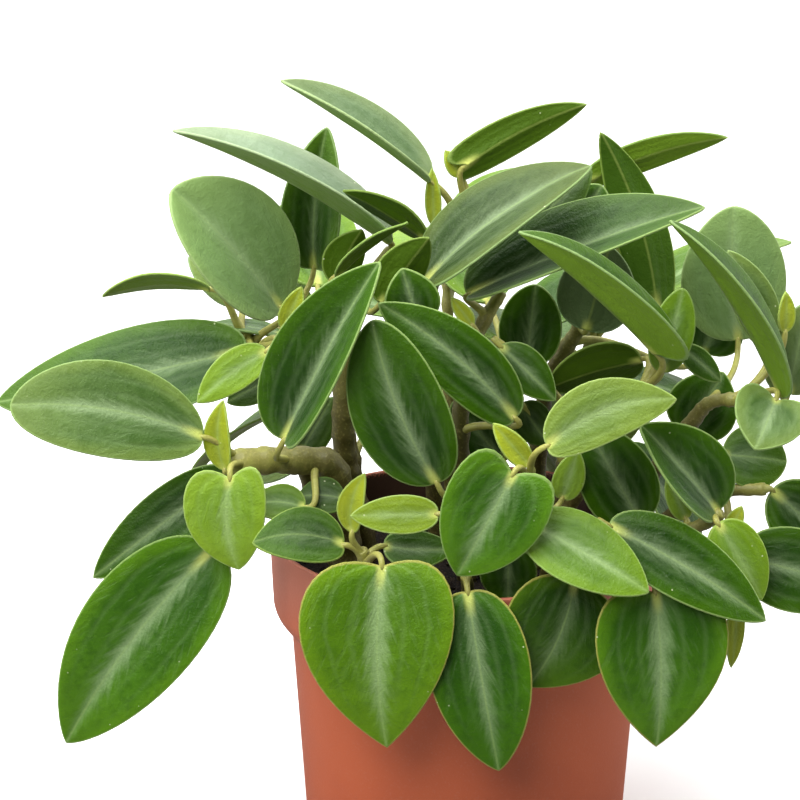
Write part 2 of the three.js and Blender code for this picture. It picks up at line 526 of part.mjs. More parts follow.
// ---- The part ------------------------------------------------------------------------------------
function geometryFrom(solid) {
    const { numProp, vertProperties, triVerts } = solid.getMesh();
    const places = [];
    for (let i = 0; i < vertProperties.length; i += numProp) {
        places.push(...vertProperties.slice(i, i + 3));
    }
    const geometry = new THREE.BufferGeometry();
    geometry.setAttribute('position', new THREE.Float32BufferAttribute(places, 3));
    geometry.setIndex(Array.from(triVerts));
    geometry.computeVertexNormals();
    return geometry;
}

function named(name, solid, color, roughness) {
    const mesh = new THREE.Mesh(geometryFrom(solid), new THREE.MeshStandardMaterial({ color, roughness }));
    mesh.name = name;
    return mesh;
}

const stems = [...STEMS.map(frontStem), ...BACK_STEMS.map(backStem)];
const plant = new THREE.Group();
plant.name = 'potted_peperomia';
plant.add(named('pot', pot(), 0xb0603f, 0.6));
plant.add(named('soil', soil(stems), 0x2a1d16, 0.95));
for (const stem of stems) {
    plant.add(named(stem.name, leafyStem(stem), 0x5c8a3a, 0.5));
}

export default plant;
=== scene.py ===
# A potted peperomia: leafy stems in a terracotta-coloured nursery pot. Metres, +Z up, front towards -Y;
# sizes are in millimetres until they are set in a mesh.
import math
import bpy
import numpy as np
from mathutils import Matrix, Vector, noise


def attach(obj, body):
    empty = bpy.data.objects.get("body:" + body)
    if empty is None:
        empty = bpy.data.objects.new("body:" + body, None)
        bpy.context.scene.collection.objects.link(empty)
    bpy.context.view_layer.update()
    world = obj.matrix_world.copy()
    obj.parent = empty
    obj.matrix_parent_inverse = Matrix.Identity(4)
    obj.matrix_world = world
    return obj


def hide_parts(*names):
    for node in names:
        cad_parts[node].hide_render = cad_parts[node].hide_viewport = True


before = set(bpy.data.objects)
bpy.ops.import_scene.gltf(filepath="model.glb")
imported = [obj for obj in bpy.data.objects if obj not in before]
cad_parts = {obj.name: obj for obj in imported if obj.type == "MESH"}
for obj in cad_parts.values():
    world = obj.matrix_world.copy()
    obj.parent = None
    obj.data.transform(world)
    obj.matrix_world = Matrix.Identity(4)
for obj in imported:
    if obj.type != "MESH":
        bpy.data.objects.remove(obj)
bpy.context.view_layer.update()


# ---- Pot -------------------------------------------------------------
# A 12 cm nursery pot of thin, matt, terracotta-coloured polypropylene, moulded in one piece: an upright
# collar with a rounded rim, a sloping shoulder, a tapering body and a flat foot with six drain holes.
POT_HEIGHT = 105
RIM_RADIUS = 60
COLLAR_FOOT = (59, 82.5)
BODY_TOP = (53.5, 74.5)
FOOT_RADIUS = 48.5
POT_WALL = 1.8
POT_FLOOR = 2.2
DRAIN_HOLES = 6
DRAIN_RADIUS = 4
DRAIN_CIRCLE = 27
DRAIN_PUNCH = (-1, 4)
DRAIN_SIDES = 32
POT_SIDES = 160
POT_ROUNDING = 1.1
SHOULDER_BEND = ((0.45, 0.35), (0.85, 0.7))
POT_COLOUR = (188, 90, 50)
POT_DUSTY = (188, 114, 92)
POT_DEEP = (170, 76, 42)
# The colour of the painted shade inside the collar
POT_INSIDE_SHADE = (58, 36, 24)
# Where the collar turns dusty, and where the painted shade inside it starts and ends, in a shader's metres
DUSTY_RISE = (0.075, 0.1)
INSIDE_SHADE_REACH = (0.059, 0.0583)
INSIDE_SHADE_FOOT = (0.086, 0.088)
INSIDE_SHADE_TOP = (0.1095, 0.1065)


def linear(red, green, blue):
    """A screen colour, 0 to 255, as the linear colour that a shader takes."""
    def one(value):
        value /= 255
        return value / 12.92 if value <= 0.04045 else ((value + 0.055) / 1.055) ** 2.4
    return one(red), one(green), one(blue), 1.0


def mesh_object(name, corners, faces, smooth=True):
    """An object from corners in millimetres."""
    mesh = bpy.data.meshes.new(name)
    mesh.from_pydata((np.asarray(corners) / 1000).tolist(), [], faces)
    mesh.polygons.foreach_set("use_smooth", [smooth] * len(mesh.polygons))
    mesh.update()
    made = bpy.data.objects.new(name, mesh)
    bpy.context.collection.objects.link(made)
    return made


def softened(profile, radius, steps=4):
    """A profile of (radius, height) corners with each corner between its ends rounded off."""
    points = [Vector(corner) for corner in profile]
    out = [points[0]]
    for before, corner, after in zip(points, points[1:], points[2:]):
        back, on = before - corner, after - corner
        reach = min(radius, back.length * 0.45, on.length * 0.45)
        start, stop = corner + back.normalized() * reach, corner + on.normalized() * reach
        for k in range(steps + 1):
            share = k / steps
            out.append(start * (1 - share) ** 2 + corner * 2 * share * (1 - share) + stop * share ** 2)
    return [(p.x, p.y) for p in out + [points[-1]]]


def turned(profile, sides):
    """The corners and faces of a profile turned about the upright axis, on which it starts and ends."""
    corners = [(0, 0, profile[0][1])]
    for radius, height in profile[1:-1]:
        for k in range(sides):
            turn = math.tau * k / sides
            corners.append((radius * math.cos(turn), radius * math.sin(turn), height))
    corners.append((0, 0, profile[-1][1]))
    rings = len(profile) - 2
    last = 1 + (rings - 1) * sides
    faces = []
    for k in range(sides):
        on = (k + 1) % sides
        faces.append((0, 1 + on, 1 + k))
        for low in range(1, last, sides):
            faces.append((low + k, low + on, low + sides + on, low + sides + k))
        faces.append((last + k, last + on, len(corners) - 1))
    return corners, faces


def pot_side(inset):
    """The pot's side from the top of its body to the foot of its collar, moved in by a wall."""
    slope, rise = COLLAR_FOOT[0] - BODY_TOP[0], COLLAR_FOOT[1] - BODY_TOP[1]
    bends = [(BODY_TOP[0] + slope * out, BODY_TOP[1] + rise * up) for out, up in SHOULDER_BEND]
    return [(radius - inset, height) for radius, height in [BODY_TOP, *bends, COLLAR_FOOT]]


pot_outer = [(0, 0), (FOOT_RADIUS, 0)] + pot_side(0) + [(RIM_RADIUS, POT_HEIGHT)]
pot_inner = [(RIM_RADIUS - POT_WALL, POT_HEIGHT)] + pot_side(POT_WALL)[::-1] \
    + [(FOOT_RADIUS - POT_WALL, POT_FLOOR), (0, POT_FLOOR)]
pot = mesh_object("pot_shell", *turned(softened(pot_outer + pot_inner, POT_ROUNDING), POT_SIDES))
for hole in range(DRAIN_HOLES):
    turn = math.tau * (hole + 0.5) / DRAIN_HOLES
    low, high = DRAIN_PUNCH
    corners, faces = turned([(0, low), (DRAIN_RADIUS, low), (DRAIN_RADIUS, high), (0, high)], DRAIN_SIDES)
    place = (DRAIN_CIRCLE * math.cos(turn), DRAIN_CIRCLE * math.sin(turn), 0)
    punch = mesh_object("drain_punch", np.array(corners) + place, faces)
    cut = pot.modifiers.new("drain", "BOOLEAN")
    cut.operation, cut.object, cut.solver = "DIFFERENCE", punch, "EXACT"
    shown = pot.evaluated_get(bpy.context.evaluated_depsgraph_get())
    pot.data = bpy.data.meshes.new_from_object(shown)
    pot.modifiers.clear()
    bpy.data.objects.remove(punch)


def new_material(name):
    """A material with its node tree and its shader."""
    made = bpy.data.materials.new(name)
    made.use_nodes = True
    return made, made.node_tree, made.node_tree.nodes["Principled BSDF"]


def add(tree, kind, inputs=None, **settings):
    """A shader node. inputs maps its sockets to values or to the outputs that feed them."""
    made = tree.nodes.new("ShaderNode" + kind)
    for key, value in settings.items():
        setattr(made, key, value)
    for socket, value in (inputs or {}).items():
        if isinstance(value, bpy.types.NodeSocket):
            tree.links.new(value, made.inputs[socket])
        else:
            made.inputs[socket].default_value = value
    return made


def sums(tree, operation, *values):
    """The result of a math node."""
    return add(tree, "Math", dict(enumerate(values)), operation=operation).outputs[0]


def times(tree, first, second):
    """The product of two values."""
    return sums(tree, "MULTIPLY", first, second)


def cloudiness(tree, at, per_metre, detail, rough=0.5):
    """The value of a noise texture."""
    inputs = {"Vector": at, "Scale": per_metre, "Detail": detail, "Roughness": rough}
    return add(tree, "TexNoise", inputs).outputs[0]


def blend(tree, share, first, second, kind="MIX"):
    """Two colours mixed by a share."""
    made = add(tree, "Mix", {0: share, 6: first, 7: second}, data_type="RGBA", blend_type=kind)
    return made.outputs[2]


def slide(tree, value, low, high, out_low=0.0, out_high=1.0):
    """A value eased from one range to another."""
    made = add(tree, "MapRange", {0: value, 1: low, 2: high, 3: out_low, 4: out_high},
               interpolation_type="SMOOTHSTEP")
    return made.outputs[0]


# Uneven tone that the pot, the soil and the stems share: broad clouds and a fine grain
MOTTLE_INPUTS = {"Colour": "Color", "Deep": "Color", "Pale": "Color", "Clouds per metre": "Float",
                 "Grains per metre": "Float", "Amount": "Float"}
mottle = bpy.data.node_groups.new("Mottle", "ShaderNodeTree")
for name, kind in MOTTLE_INPUTS.items():
    mottle.interface.new_socket(name, in_out="INPUT", socket_type="NodeSocket" + kind)
for name, kind in (("Colour", "Color"), ("Height", "Float")):
    mottle.interface.new_socket(name, in_out="OUTPUT", socket_type="NodeSocket" + kind)
given = mottle.nodes.new("NodeGroupInput").outputs
at = add(mottle, "TexCoord").outputs["Object"]
clouds = cloudiness(mottle, at, given["Clouds per metre"], 3.0)
grains = cloudiness(mottle, at, given["Grains per metre"], 2.0)
cloudy = times(mottle, slide(mottle, clouds, 0.35, 0.62), given["Amount"])
toned = blend(mottle, cloudy, given["Colour"], given["Deep"])
grainy = times(mottle, slide(mottle, grains, 0.5, 0.75), given["Amount"])
toned = blend(mottle, grainy, toned, given["Pale"])
put = mottle.nodes.new("NodeGroupOutput")
mottle.links.new(toned, put.inputs["Colour"])
mottle.links.new(grains, put.inputs["Height"])


def mottled(tree, colour, deep, pale, clouds, grains, amount):
    """The colour and the height of an uneven surface."""
    values = zip(MOTTLE_INPUTS, (colour, deep, pale, clouds, grains, amount))
    made = add(tree, "Group", dict(values), node_tree=mottle)
    return made.outputs["Colour"], made.outputs["Height"]


def bumpy(tree, shader, height, strength, distance):
    """Gives a surface the relief of a height."""
    bump = add(tree, "Bump", {"Strength": strength, "Distance": distance, "Height": height})
    tree.links.new(bump.outputs[0], shader.inputs["Normal"])


# Rubbing has left the collar dusty, and its inside above the soil is darkened with painted shade
plastic, tree, shader = new_material("terracotta polypropylene")
colour, grain = mottled(tree, linear(*POT_COLOUR), linear(*POT_DEEP), linear(*POT_DUSTY),
                        clouds=28.0, grains=1500.0, amount=0.3)
right, back, height = add(tree, "SeparateXYZ", {0: add(tree, "TexCoord").outputs["Object"]}).outputs
colour = blend(tree, slide(tree, height, *DUSTY_RISE, 0.0, 0.7), colour, linear(*POT_DUSTY))
reach = sums(tree, "SQRT", sums(tree, "ADD", times(tree, right, right), times(tree, back, back)))
# Painted shade: the inside wall is darkened from just below the soil up to the rim
inside_shade = times(tree, slide(tree, reach, *INSIDE_SHADE_REACH), slide(tree, height, *INSIDE_SHADE_FOOT))
ragged = sums(tree, "ADD", height, times(tree, grain, 0.006))
inside_shade = times(tree, inside_shade, slide(tree, ragged, *INSIDE_SHADE_TOP))
colour = blend(tree, inside_shade, colour, linear(*POT_INSIDE_SHADE))
tree.links.new(colour, shader.inputs["Base Color"])
tree.links.new(slide(tree, grain, 0.3, 0.7, 0.5, 0.6), shader.inputs["Roughness"])
bumpy(tree, shader, grain, 0.25, 0.0002)
pot.data.materials.append(plastic)
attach(pot, "root")
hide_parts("pot")


# ---- Soil ------------------------------------------------------------
# Dark peat mix pressed into the pot to about a finger's width below the rim: a lumpy top of crumbs, and
# the plug below it, which shows only through the drain holes.
SOIL_LEVEL = 94
SOIL_GAP = 0.3
SOIL_RINGS = 44
SOIL_SIDES = 150
# Swell of the whole top, and its lumps: height, size and slice of the noise
SOIL_SWELL = 0.7
SOIL_LUMPS = ((0.9, 6, 3), (0.55, 2.2, 8))
CRUMBS = 420
CRUMB_SIZE = (0.5, 1.3)
CRUMB_LIFT = 0.4
CRUMB_SEED = 7
SOIL_COLOUR = (28, 20, 15)
SOIL_DEEP = (12, 9, 7)
SOIL_PALE = (56, 44, 32)

top_radius = COLLAR_FOOT[0] - POT_WALL - SOIL_GAP
inset = POT_WALL + SOIL_GAP
soil_profile = [(0, POT_FLOOR + SOIL_GAP), (FOOT_RADIUS - inset, POT_FLOOR + SOIL_GAP)] + pot_side(inset)
soil_profile += [(top_radius * (1 - ring / SOIL_RINGS), SOIL_LEVEL) for ring in range(SOIL_RINGS)]
corners, faces = turned(soil_profile + [(0, SOIL_LEVEL)], SOIL_SIDES)
corners = np.array(corners, float)
for corner in corners:
    if corner[2] == SOIL_LEVEL:
        x, y = corner[:2]
        lift = SOIL_SWELL * math.sin(x * 0.31 + 1) * math.cos(y * 0.27 + x * 0.11)
        lift += sum(high * noise.noise((x / size, y / size, layer)) for high, size, layer in SOIL_LUMPS)
        corner[2] += lift
soil = mesh_object("soil_plug", corners, faces)

# A crumb is an icosahedron with its corners drawn in by chance
RING_OUT, RING_UP = 0.894, 0.447
ico = [(0, 0, 1)] + [(RING_OUT * math.cos(k * math.tau / 5), RING_OUT * math.sin(k * math.tau / 5), RING_UP)
                     for k in range(5)]
ico += [(-x, -y, -z) for x, y, z in ico]
ico_faces = [(0, 1 + k, 1 + (k + 1) % 5) for k in range(5)]
ico_faces += [(6, 7 + (k + 1) % 5, 7 + k) for k in range(5)]
for k in range(5):
    low = [7 + (k + 2) % 5, 7 + (k + 3) % 5]
    ico_faces += [(1 + k, low[1], 1 + (k + 1) % 5), (1 + k, low[0], low[1])]

chance = np.random.default_rng(CRUMB_SEED)
crumb_corners, crumb_faces = [], []
for _ in range(CRUMBS):
    away, turn = top_radius * 0.97 * math.sqrt(chance.random()), math.tau * chance.random()
    size = CRUMB_SIZE[0] + CRUMB_SIZE[1] * chance.random() ** 2
    stretch = size * (0.6 + 0.8 * chance.random(3))
    spin = math.tau * chance.random()
    start = len(crumb_corners)
    for corner in ico:
        x, y, z = np.array(corner) * stretch * (0.8 + 0.4 * chance.random())
        crumb_corners.append((away * math.cos(turn) + x * math.cos(spin) - y * math.sin(spin),
                              away * math.sin(turn) + x * math.sin(spin) + y * math.cos(spin),
                              SOIL_LEVEL + CRUMB_LIFT + z))
    crumb_faces += [tuple(start + i for i in face) for face in ico_faces]
crumbs = mesh_object("soil_crumbs", crumb_corners, crumb_faces, smooth=False)

peat, tree, shader = new_material("peat")
colour, grain = mottled(tree, linear(*SOIL_COLOUR), linear(*SOIL_DEEP), linear(*SOIL_PALE),
                        clouds=260.0, grains=1400.0, amount=0.9)
tree.links.new(colour, shader.inputs["Base Color"])
shader.inputs["Roughness"].default_value = 0.95
shader.inputs["Specular IOR Level"].default_value = 0.2
bumpy(tree, shader, grain, 0.8, 0.0008)
for piece in (soil, crumbs):
    piece.data.materials.append(peat)
    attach(piece, "root")
    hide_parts("soil")


# ---- Leafy stems on the left -----------------------------------------
# Succulent olive-brown stems, knobbly where old leaves fell, that fork out of the soil and lean left. Each
# thick, half-glossy leaf grows from a bent stalk on its stem: a pale band, partly its own paler stripe and
# partly a painted highlight, lies along its midrib, its rim is a thin line of lime, and its underside is a
# dull, paler green.

# A row gives a stem's name, its thickness at the soil and at its end, the points it passes and its leaves.
# A leaf's row: name, base, tip, width, the way its upper side looks (right, front, up), tone, and where
# they aren't the usual ones, fold of its halves in degrees, arch and sideways bend as shares of its
# length, and outline. A point is seen from the front, 1 m away: pixels across, pixels down (of 800), and
# how far it stands before the pot's axis.
LEFT_STEMS = [
    ("stem_left_arm", (10, 7),
     [(345, 580, 14), (344, 530, 14), (333, 470, 16), (285, 460, 20), (230, 464, 26)],
     [("left low long", (203, 437, 31), (10, 405, 42), 29, (0, 0.8, 0.5), "sage", 12, 0.04, 0.05, "round"),
      ("left young", (225, 471, 30), (223, 400, 30), 9, (-0.3, 1, 0), "lime", 30, 0.02, -0.08, "slim"),
      ("left dark", (232, 474, 21), (93, 578, 24), 19, (0.15, 0.8, 0.6), "dark", 16),
      ("left light heart", (230, 478, 40), (239, 570, 44), 24.5, (-0.05, 1, 0.25),
       "light", 12, 0.05, 0.08, "heart"),
      ("left lowest", (213, 548, 34), (66, 743, 43), 36.1, (0.1, 0.9, 0.3), "leaf green", 14, 0.05, 0.04),
      ("big turned", (284, 440, 42), (380, 262, 46), 31, (-0.5, 0.78, 0.52), "dark", 40, 0.03),
      ("left olive", (305, 508, 35), (248, 505, 33), 13, (0, 0.6, 0.8), "olive", 12, 0.05, 0.05),
      ("left shade", (344, 500, 28), (296, 498, 28), 13, (0, 0.6, 0.8), "shade", 12, 0.05, 0.05),
      ("left grey", (302, 461, 7), (256, 483, 4), 9, (0, 0.5, 1), "grey", 12, 0.05, 0, "slim")]),
    ("stem_left_rising", (8.4, 3.8),
     [(367, 566, -2), (355, 500, 2), (345, 455, 4), (343, 400, 5),
      (348, 340, 5), (365, 290, 4), (392, 250, 3)],
     [("crown left low", (389, 242, 6), (173, 130, 8), 30, (0.3, 0.02, 1), "crown haze", 38, 0.037),
      ("crown inner a", (428, 240, 12), (343, 190, 11), 14, (0.2, -0.75, 0.8), "olive", 16, 0.04, 0, "slim"),
      ("crown inner b", (381, 303, 31), (429, 237, 31), 15, (-0.3, -1, 0), "olive", 20, 0.04),
      ("crown inner c", (338, 285, 8), (362, 229, 8), 13, (-0.3, -1, 0), "olive", 20, 0.04, 0.06),
      ("crown inner d", (335, 277, 18), (408, 222, 18), 12, (-0.4, -0.3, 1), "mid", 30, 0.04, 0, "slim")]),
    ("stem_left_back", (5.5, 3.4),
     [(328, 546, -20), (305, 470, -18), (276, 400, -13), (258, 350, -9), (238, 330, -8)],
     [("left far long", (246, 350, 0), (-4, 403, 4), 31.6, (0.1, 0.7, 0.75), "deep", 14, 0.04, -0.03),
      ("left top oval", (281, 308, 4), (172, 189, 14), 37.8, (0.47, 0.78, 0.41),
       "pale sage", 33, 0.05, 0, "round"),
      ("left small far", (210, 289, -6), (102, 296, -12), 15.8, (-0.2, -0.7, 1), "light", 12, 0.09),
      ("left small grey", (238, 303, -19), (188, 257, -23), 10, (-0.3, 0.5, 0.7), "grey"),
      ("left bud", (283, 330, 13), (302, 286, 13), 7, (0, 1, 0.3), "lime", 30, 0.02, 0, "slim"),
      ("left light", (267, 351, 20), (197, 403, 26), 12, (0.3, 0.8, 0.5), "light", 10, 0.05, 0.04),
      ("left shaded", (276, 377, 12), (227, 403, 12), 10, (0, 0.8, 0.5), "shade"),
      ("left edge on", (284, 336, -10), (205, 325, -14), 15, (0, -0.05, 1), "deep", 14, 0.04, 0, "slim"),
      ("left inner", (301, 452, -8), (333, 397, -9), 12.2, (0, 0.9, 0.4), "shade"),
      ("back tall", (314, 268, -25), (327, 127, -25), 23, (-0.15, 1, 0.2), "deep", 45, 0.03, -0.03)]),
]

VIEW_PITCH = math.radians(18)
VIEW_CENTRE = Vector((-20.2, 0, 146.2))
VIEW_DISTANCE = 1000
VIEW_WIDTH = 241.2
VIEW_PIXELS = 800
STEM_ROOT_DEPTH = 8
STEM_CLEAR = 2.5
STEM_SIDES = 16
STALK_SIDES = 10
# The dome that ends a stem or a stalk: its width and its height, as shares of the radius
TUBE_END = (0.5, 0.9)
STALK_RADIUS = (1.3, 0.85)
STALK_DROP = 0.45
STALK_LOWEST = 0.12
# Height and length of the swelling at a stalk's foot, and of a stem's knobs, scars and gnarls, whose
# heights are shares of its radius
STALK_FOOT = (0.5, 2.2)
KNOBS = (0.16, 1.8)
SCARS = (0.12, 2.1)
GNARLS = (0.08, 4)
MIDRIB_THICK = 1.3
MARGIN_THICK = 0.8
MARGIN_CURL = math.radians(-14)
MARGIN_STEPS = (0.45, 0.8, 0.95, 1)
# Half the width over which the fold is rounded; height of the ripples; depth or height and half width of
# the sunken line above the midrib and of the keel below it
CREASE = 1.6
RIPPLE = 0.28
GROOVE = (0.28, 0.8)
KEEL = (0.4, 0.9)
# Half the width of a leaf follows s^rise * (1 - s)^fall from its base to its tip; lobe draws its lower
# corners back beside the stalk.
OUTLINES = {
    "heart": (0.5, 0.82, 0.85), "tapered": (0.5, 0.96, 0.4), "ovate": (0.56, 0.78, 0.18),
    "oval": (0.52, 0.6, 0.08), "round": (0.57, 0.55, 0.08), "slim": (0.62, 0.85, 0.05),
}
# Upper side, underside, rim, strength of the pale band with its painted highlight, roughness
LEAF_TONES = {
    "dark": ((42, 78, 0), (80, 110, 14), (134, 160, 90), 0.7, 0.36),
    "forest": ((46, 88, 0), (80, 110, 14), (134, 160, 80), 0.6, 0.36),
    "gloss": ((50, 80, 24), (80, 110, 14), (134, 160, 90), 0.5, 0.36),
    "leaf green": ((64, 108, 12), (86, 118, 20), (124, 152, 80), 0.8, 0.4),
    "deep": ((56, 90, 21), (112, 146, 36), (126, 152, 92), 0.5, 0.36),
    # The next two crown tones have the leaves' sheen painted into their pale grey-green upper sides
    "crown haze": ((138, 157, 130), (116, 148, 60), (156, 176, 132), 0.35, 0.34),
    "crown sage": ((100, 122, 86), (116, 148, 60), (150, 172, 116), 0.35, 0.34),
    "crown": ((64, 84, 42), (90, 118, 30), (126, 152, 92), 0.6, 0.38),
    # The shade tone is leaf green darkened with painted shade, for leaves deep inside the plant
    "shade": ((38, 65, 3), (36, 60, 4), (88, 116, 50), 0.4, 0.45),
    "fern": ((52, 86, 4), (88, 116, 16), (122, 148, 70), 0.4, 0.4),
    "moss": ((82, 121, 10), (94, 124, 20), (128, 156, 66), 0.75, 0.38),
    "mid": ((85, 120, 22), (94, 124, 24), (130, 158, 80), 0.7, 0.4),
    "sage": ((84, 111, 56), (102, 130, 40), (136, 162, 94), 0.7, 0.42),
    # The pale sage tone is partly the leaves' own paler green and partly painted sheen
    "pale sage": ((120, 151, 90), (108, 136, 52), (146, 170, 108), 0.7, 0.42),
    "light": ((116, 150, 38), (106, 136, 34), (146, 172, 88), 0.6, 0.42),
    "fern light": ((103, 139, 24), (106, 136, 34), (146, 172, 80), 0.5, 0.42),
    "soft green": ((104, 130, 48), (116, 144, 36), (156, 180, 100), 0.55, 0.42),
    "pale lime": ((112, 138, 20), (116, 144, 36), (156, 180, 100), 0.5, 0.42),
    "lime": ((148, 164, 33), (132, 156, 38), (158, 180, 88), 0.25, 0.45),
    "young olive": ((66, 94, 10), (56, 88, 8), (120, 146, 60), 0.3, 0.42),
    "low olive": ((46, 80, 2), (76, 104, 10), (126, 150, 70), 0.25, 0.45),
    "olive": ((64, 96, 6), (64, 92, 4), (126, 150, 70), 0.4, 0.45),
    # The grey tone's grey-green is painted sheen over the leaves' own green
    "grey": ((96, 120, 64), (86, 106, 66), (130, 154, 104), 0.4, 0.45),
}
TAN_RIM = (150, 148, 70)
TAN_RIMMED = {"front heart", "low left", "low right", "right low"}
STEM_COLOUR = (66, 62, 16)
STALK_COLOUR = (164, 164, 80)


def seen(point):
    """A seen point, as pixels across and down and millimetres before the axis, in space."""
    step = VIEW_WIDTH / VIEW_PIXELS / VIEW_DISTANCE
    middle = VIEW_PIXELS / 2
    right, up = (point[0] - middle) * step, (middle - point[1]) * step
    sine, cosine = math.sin(VIEW_PITCH), math.cos(VIEW_PITCH)
    eye = Vector((0, -cosine, sine)) * VIEW_DISTANCE + VIEW_CENTRE
    ray = Vector((right, cosine + up * sine, up * cosine - sine))
    return eye + ray * ((-point[2] - eye.y) / ray.y)


def on_curve(points, share):
    """The point at a share of the smooth curve that passes through a stem's points."""
    last = len(points) - 1
    place = min(max(share, 0), 1) * last
    i = min(int(place), last - 1)
    w = place - i
    p1, p2 = points[i], points[i + 1]
    p0 = points[i - 1] if i > 0 else 2 * p1 - p2
    p3 = points[i + 2] if i + 2 <= last else 2 * p2 - p1
    t1, t2 = 0.5 * (p2 - p0), 0.5 * (p3 - p1)
    return p1 + t1 * w + (-3 * p1 + 3 * p2 - 2 * t1 - t2) * w ** 2 + (2 * p1 - 2 * p2 + t1 + t2) * w ** 3


def heading(points, share):
    """The direction of a stem's curve."""
    return (on_curve(points, share + 1e-4) - on_curve(points, share - 1e-4)).normalized()


def tube(centres, radii, sides, tints, whole):
    """A round tube with domed ends added to whole, a dict of corners, faces and tints."""
    across = Vector((0, 1, 0.2))
    start = len(whole["corners"])
    centres = [centres[0]] + list(centres) + [centres[-1]]
    radii = [radii[0] * TUBE_END[0]] + list(radii) + [radii[-1] * TUBE_END[0]]
    tints = [tints[0]] + list(tints) + [tints[-1]]
    count = len(centres)
    for i, centre in enumerate(centres):
        ahead = (centres[min(i + 1, count - 1)] - centres[max(i - 1, 0)]).normalized()
        if i in (0, count - 1):
            centre = centre + ahead * radii[i] * (-TUBE_END[1] if i == 0 else TUBE_END[1])
        across = (across - ahead * across.dot(ahead)).normalized()
        above = ahead.cross(across)
        for k in range(sides):
            turn = math.tau * k / sides
            whole["corners"].append(centre + (across * math.cos(turn) + above * math.sin(turn)) * radii[i])
            whole["tints"].append(tints[i])
    for i in range(count - 1):
        for k in range(sides):
            a, b = start + i * sides + k, start + i * sides + (k + 1) % sides
            whole["faces"].append((a, b, b + sides, a + sides))
    whole["faces"].append(tuple(start + k for k in reversed(range(sides))))
    whole["faces"].append(tuple(start + (count - 1) * sides + k for k in range(sides)))


def leaf_blade(leaf, seed, whole):
    """Adds one leaf's blade: rows of corners across it, above and below, from its base to its tip."""
    name, base, tip, wide, looks, tone, fold, arch, sway, outline = leaf
    rise, fall, lobe = OUTLINES[outline]
    along = tip - base
    length = along.length
    along = along.normalized()
    up = (looks - along * looks.dot(along)).normalized()
    side = along.cross(up)
    widest = rise / (rise + fall)
    fullest = widest ** rise * (1 - widest) ** fall
    rows = 14 + int(length / 5)
    inner = 5 + int(wide / 6)
    upper, under, rim, band, rough = LEAF_TONES[tone]
    rim = TAN_RIM if name in TAN_RIMMED else rim
    colours = (("upper", linear(*upper)), ("under", linear(*under)), ("rim", linear(*rim)))
    start = len(whole["corners"])

    def half_at(s):
        return wide / 2 * s ** rise * (1 - s) ** fall / fullest

    def tilt(u, half):
        """The slope across the blade at a share of its half width: its fold and the curl of its rim."""
        return math.radians(fold) * min(1, u * half / CREASE) + MARGIN_CURL * u

    def carry(place, edge):
        """Adds what the leaf skin reads from a corner."""
        whole["place"].append(place)
        whole["edge"].append(edge)
        whole["habit"].append((band, rough, length))
        for key, colour in colours:
            whole[key].append(colour)

    for i in range(1, rows):
        s = (1 - math.cos(math.pi * i / rows)) / 2
        half = half_at(s)
        steep = (half_at(min(s + 0.002, 1)) - half_at(s - 0.002)) / (0.004 * length)
        square = 1 / math.sqrt(1 + steep * steep)
        rib = base + along * length * s + up * arch * length * 4 * s * (1 - s) \
            + side * sway * length * 4 * s * (1 - s)
        back = lobe * (1 - s) ** 3 * math.sqrt(s) * length
        bend = 1 - min(0.75, MARGIN_THICK / 2 / max(half, 0.01))
        spots = [bend * k / inner for k in range(inner)] + [bend]
        spots += [bend + (1 - bend) * k for k in MARGIN_STEPS]
        out, lift, before = 0.0, 0.0, 0.0
        run = []
        for u in spots:
            for k in range(4):
                angle = tilt(before + (u - before) * (k + 0.5) / 4, half)
                out += math.cos(angle) * (u - before) / 4
                lift += math.sin(angle) * (u - before) / 4
            before = u
            run.append((u, out, lift, tilt(u, half)))
        ring = []
        for face in (1, -1):
            order = [(-1, r) for r in reversed(run)] + [(1, r) for r in run[1:]]
            if face == -1:
                order = order[::-1][1:-1]
            for turn, (u, out, lift, angle) in order:
                thick = MIDRIB_THICK + (MARGIN_THICK - MIDRIB_THICK) * min(1, u * 1.4)
                if u > bend:
                    thick *= math.sqrt(max(0, 1 - ((u - bend) / (1 - bend)) ** 2))
                away = u * half
                ripple = RIPPLE * noise.noise((s * 3 + seed, turn * u * 1.6 + seed * 2, 0))
                normal = up * math.cos(angle) - side * turn * math.sin(angle)
                rise_here = face * thick / 2 + ripple * min(1, half / 6)
                if face == 1:
                    rise_here -= GROOVE[0] * math.exp(-(away / GROOVE[1]) ** 2)
                else:
                    rise_here -= KEEL[0] * math.exp(-(away / KEEL[1]) ** 2) * (1 - s)
                ring.append(rib + side * turn * half * out + up * half * lift
                            - along * back * u ** 1.5 + normal * rise_here)
                carry((s, turn * u, half), ((1 - u) * half * square, seed, 0 if face == 1 else 1))
        whole["corners"] += ring
        ring_size = len(ring)
    for end, s in ((base, 0.0), (tip, 1.0)):
        whole["corners"].append(end)
        carry((s, 0, 0.1), (0, seed, 0.5))
    foot, point = len(whole["corners"]) - 2, len(whole["corners"]) - 1
    last = start + (rows - 2) * ring_size
    for k in range(ring_size):
        on = (k + 1) % ring_size
        whole["faces"].append((foot, start + on, start + k))
        for row in range(start, last, ring_size):
            whole["faces"].append((row + k, row + on, row + ring_size + on, row + ring_size + k))
        whole["faces"].append((last + k, last + on, point))
    return along


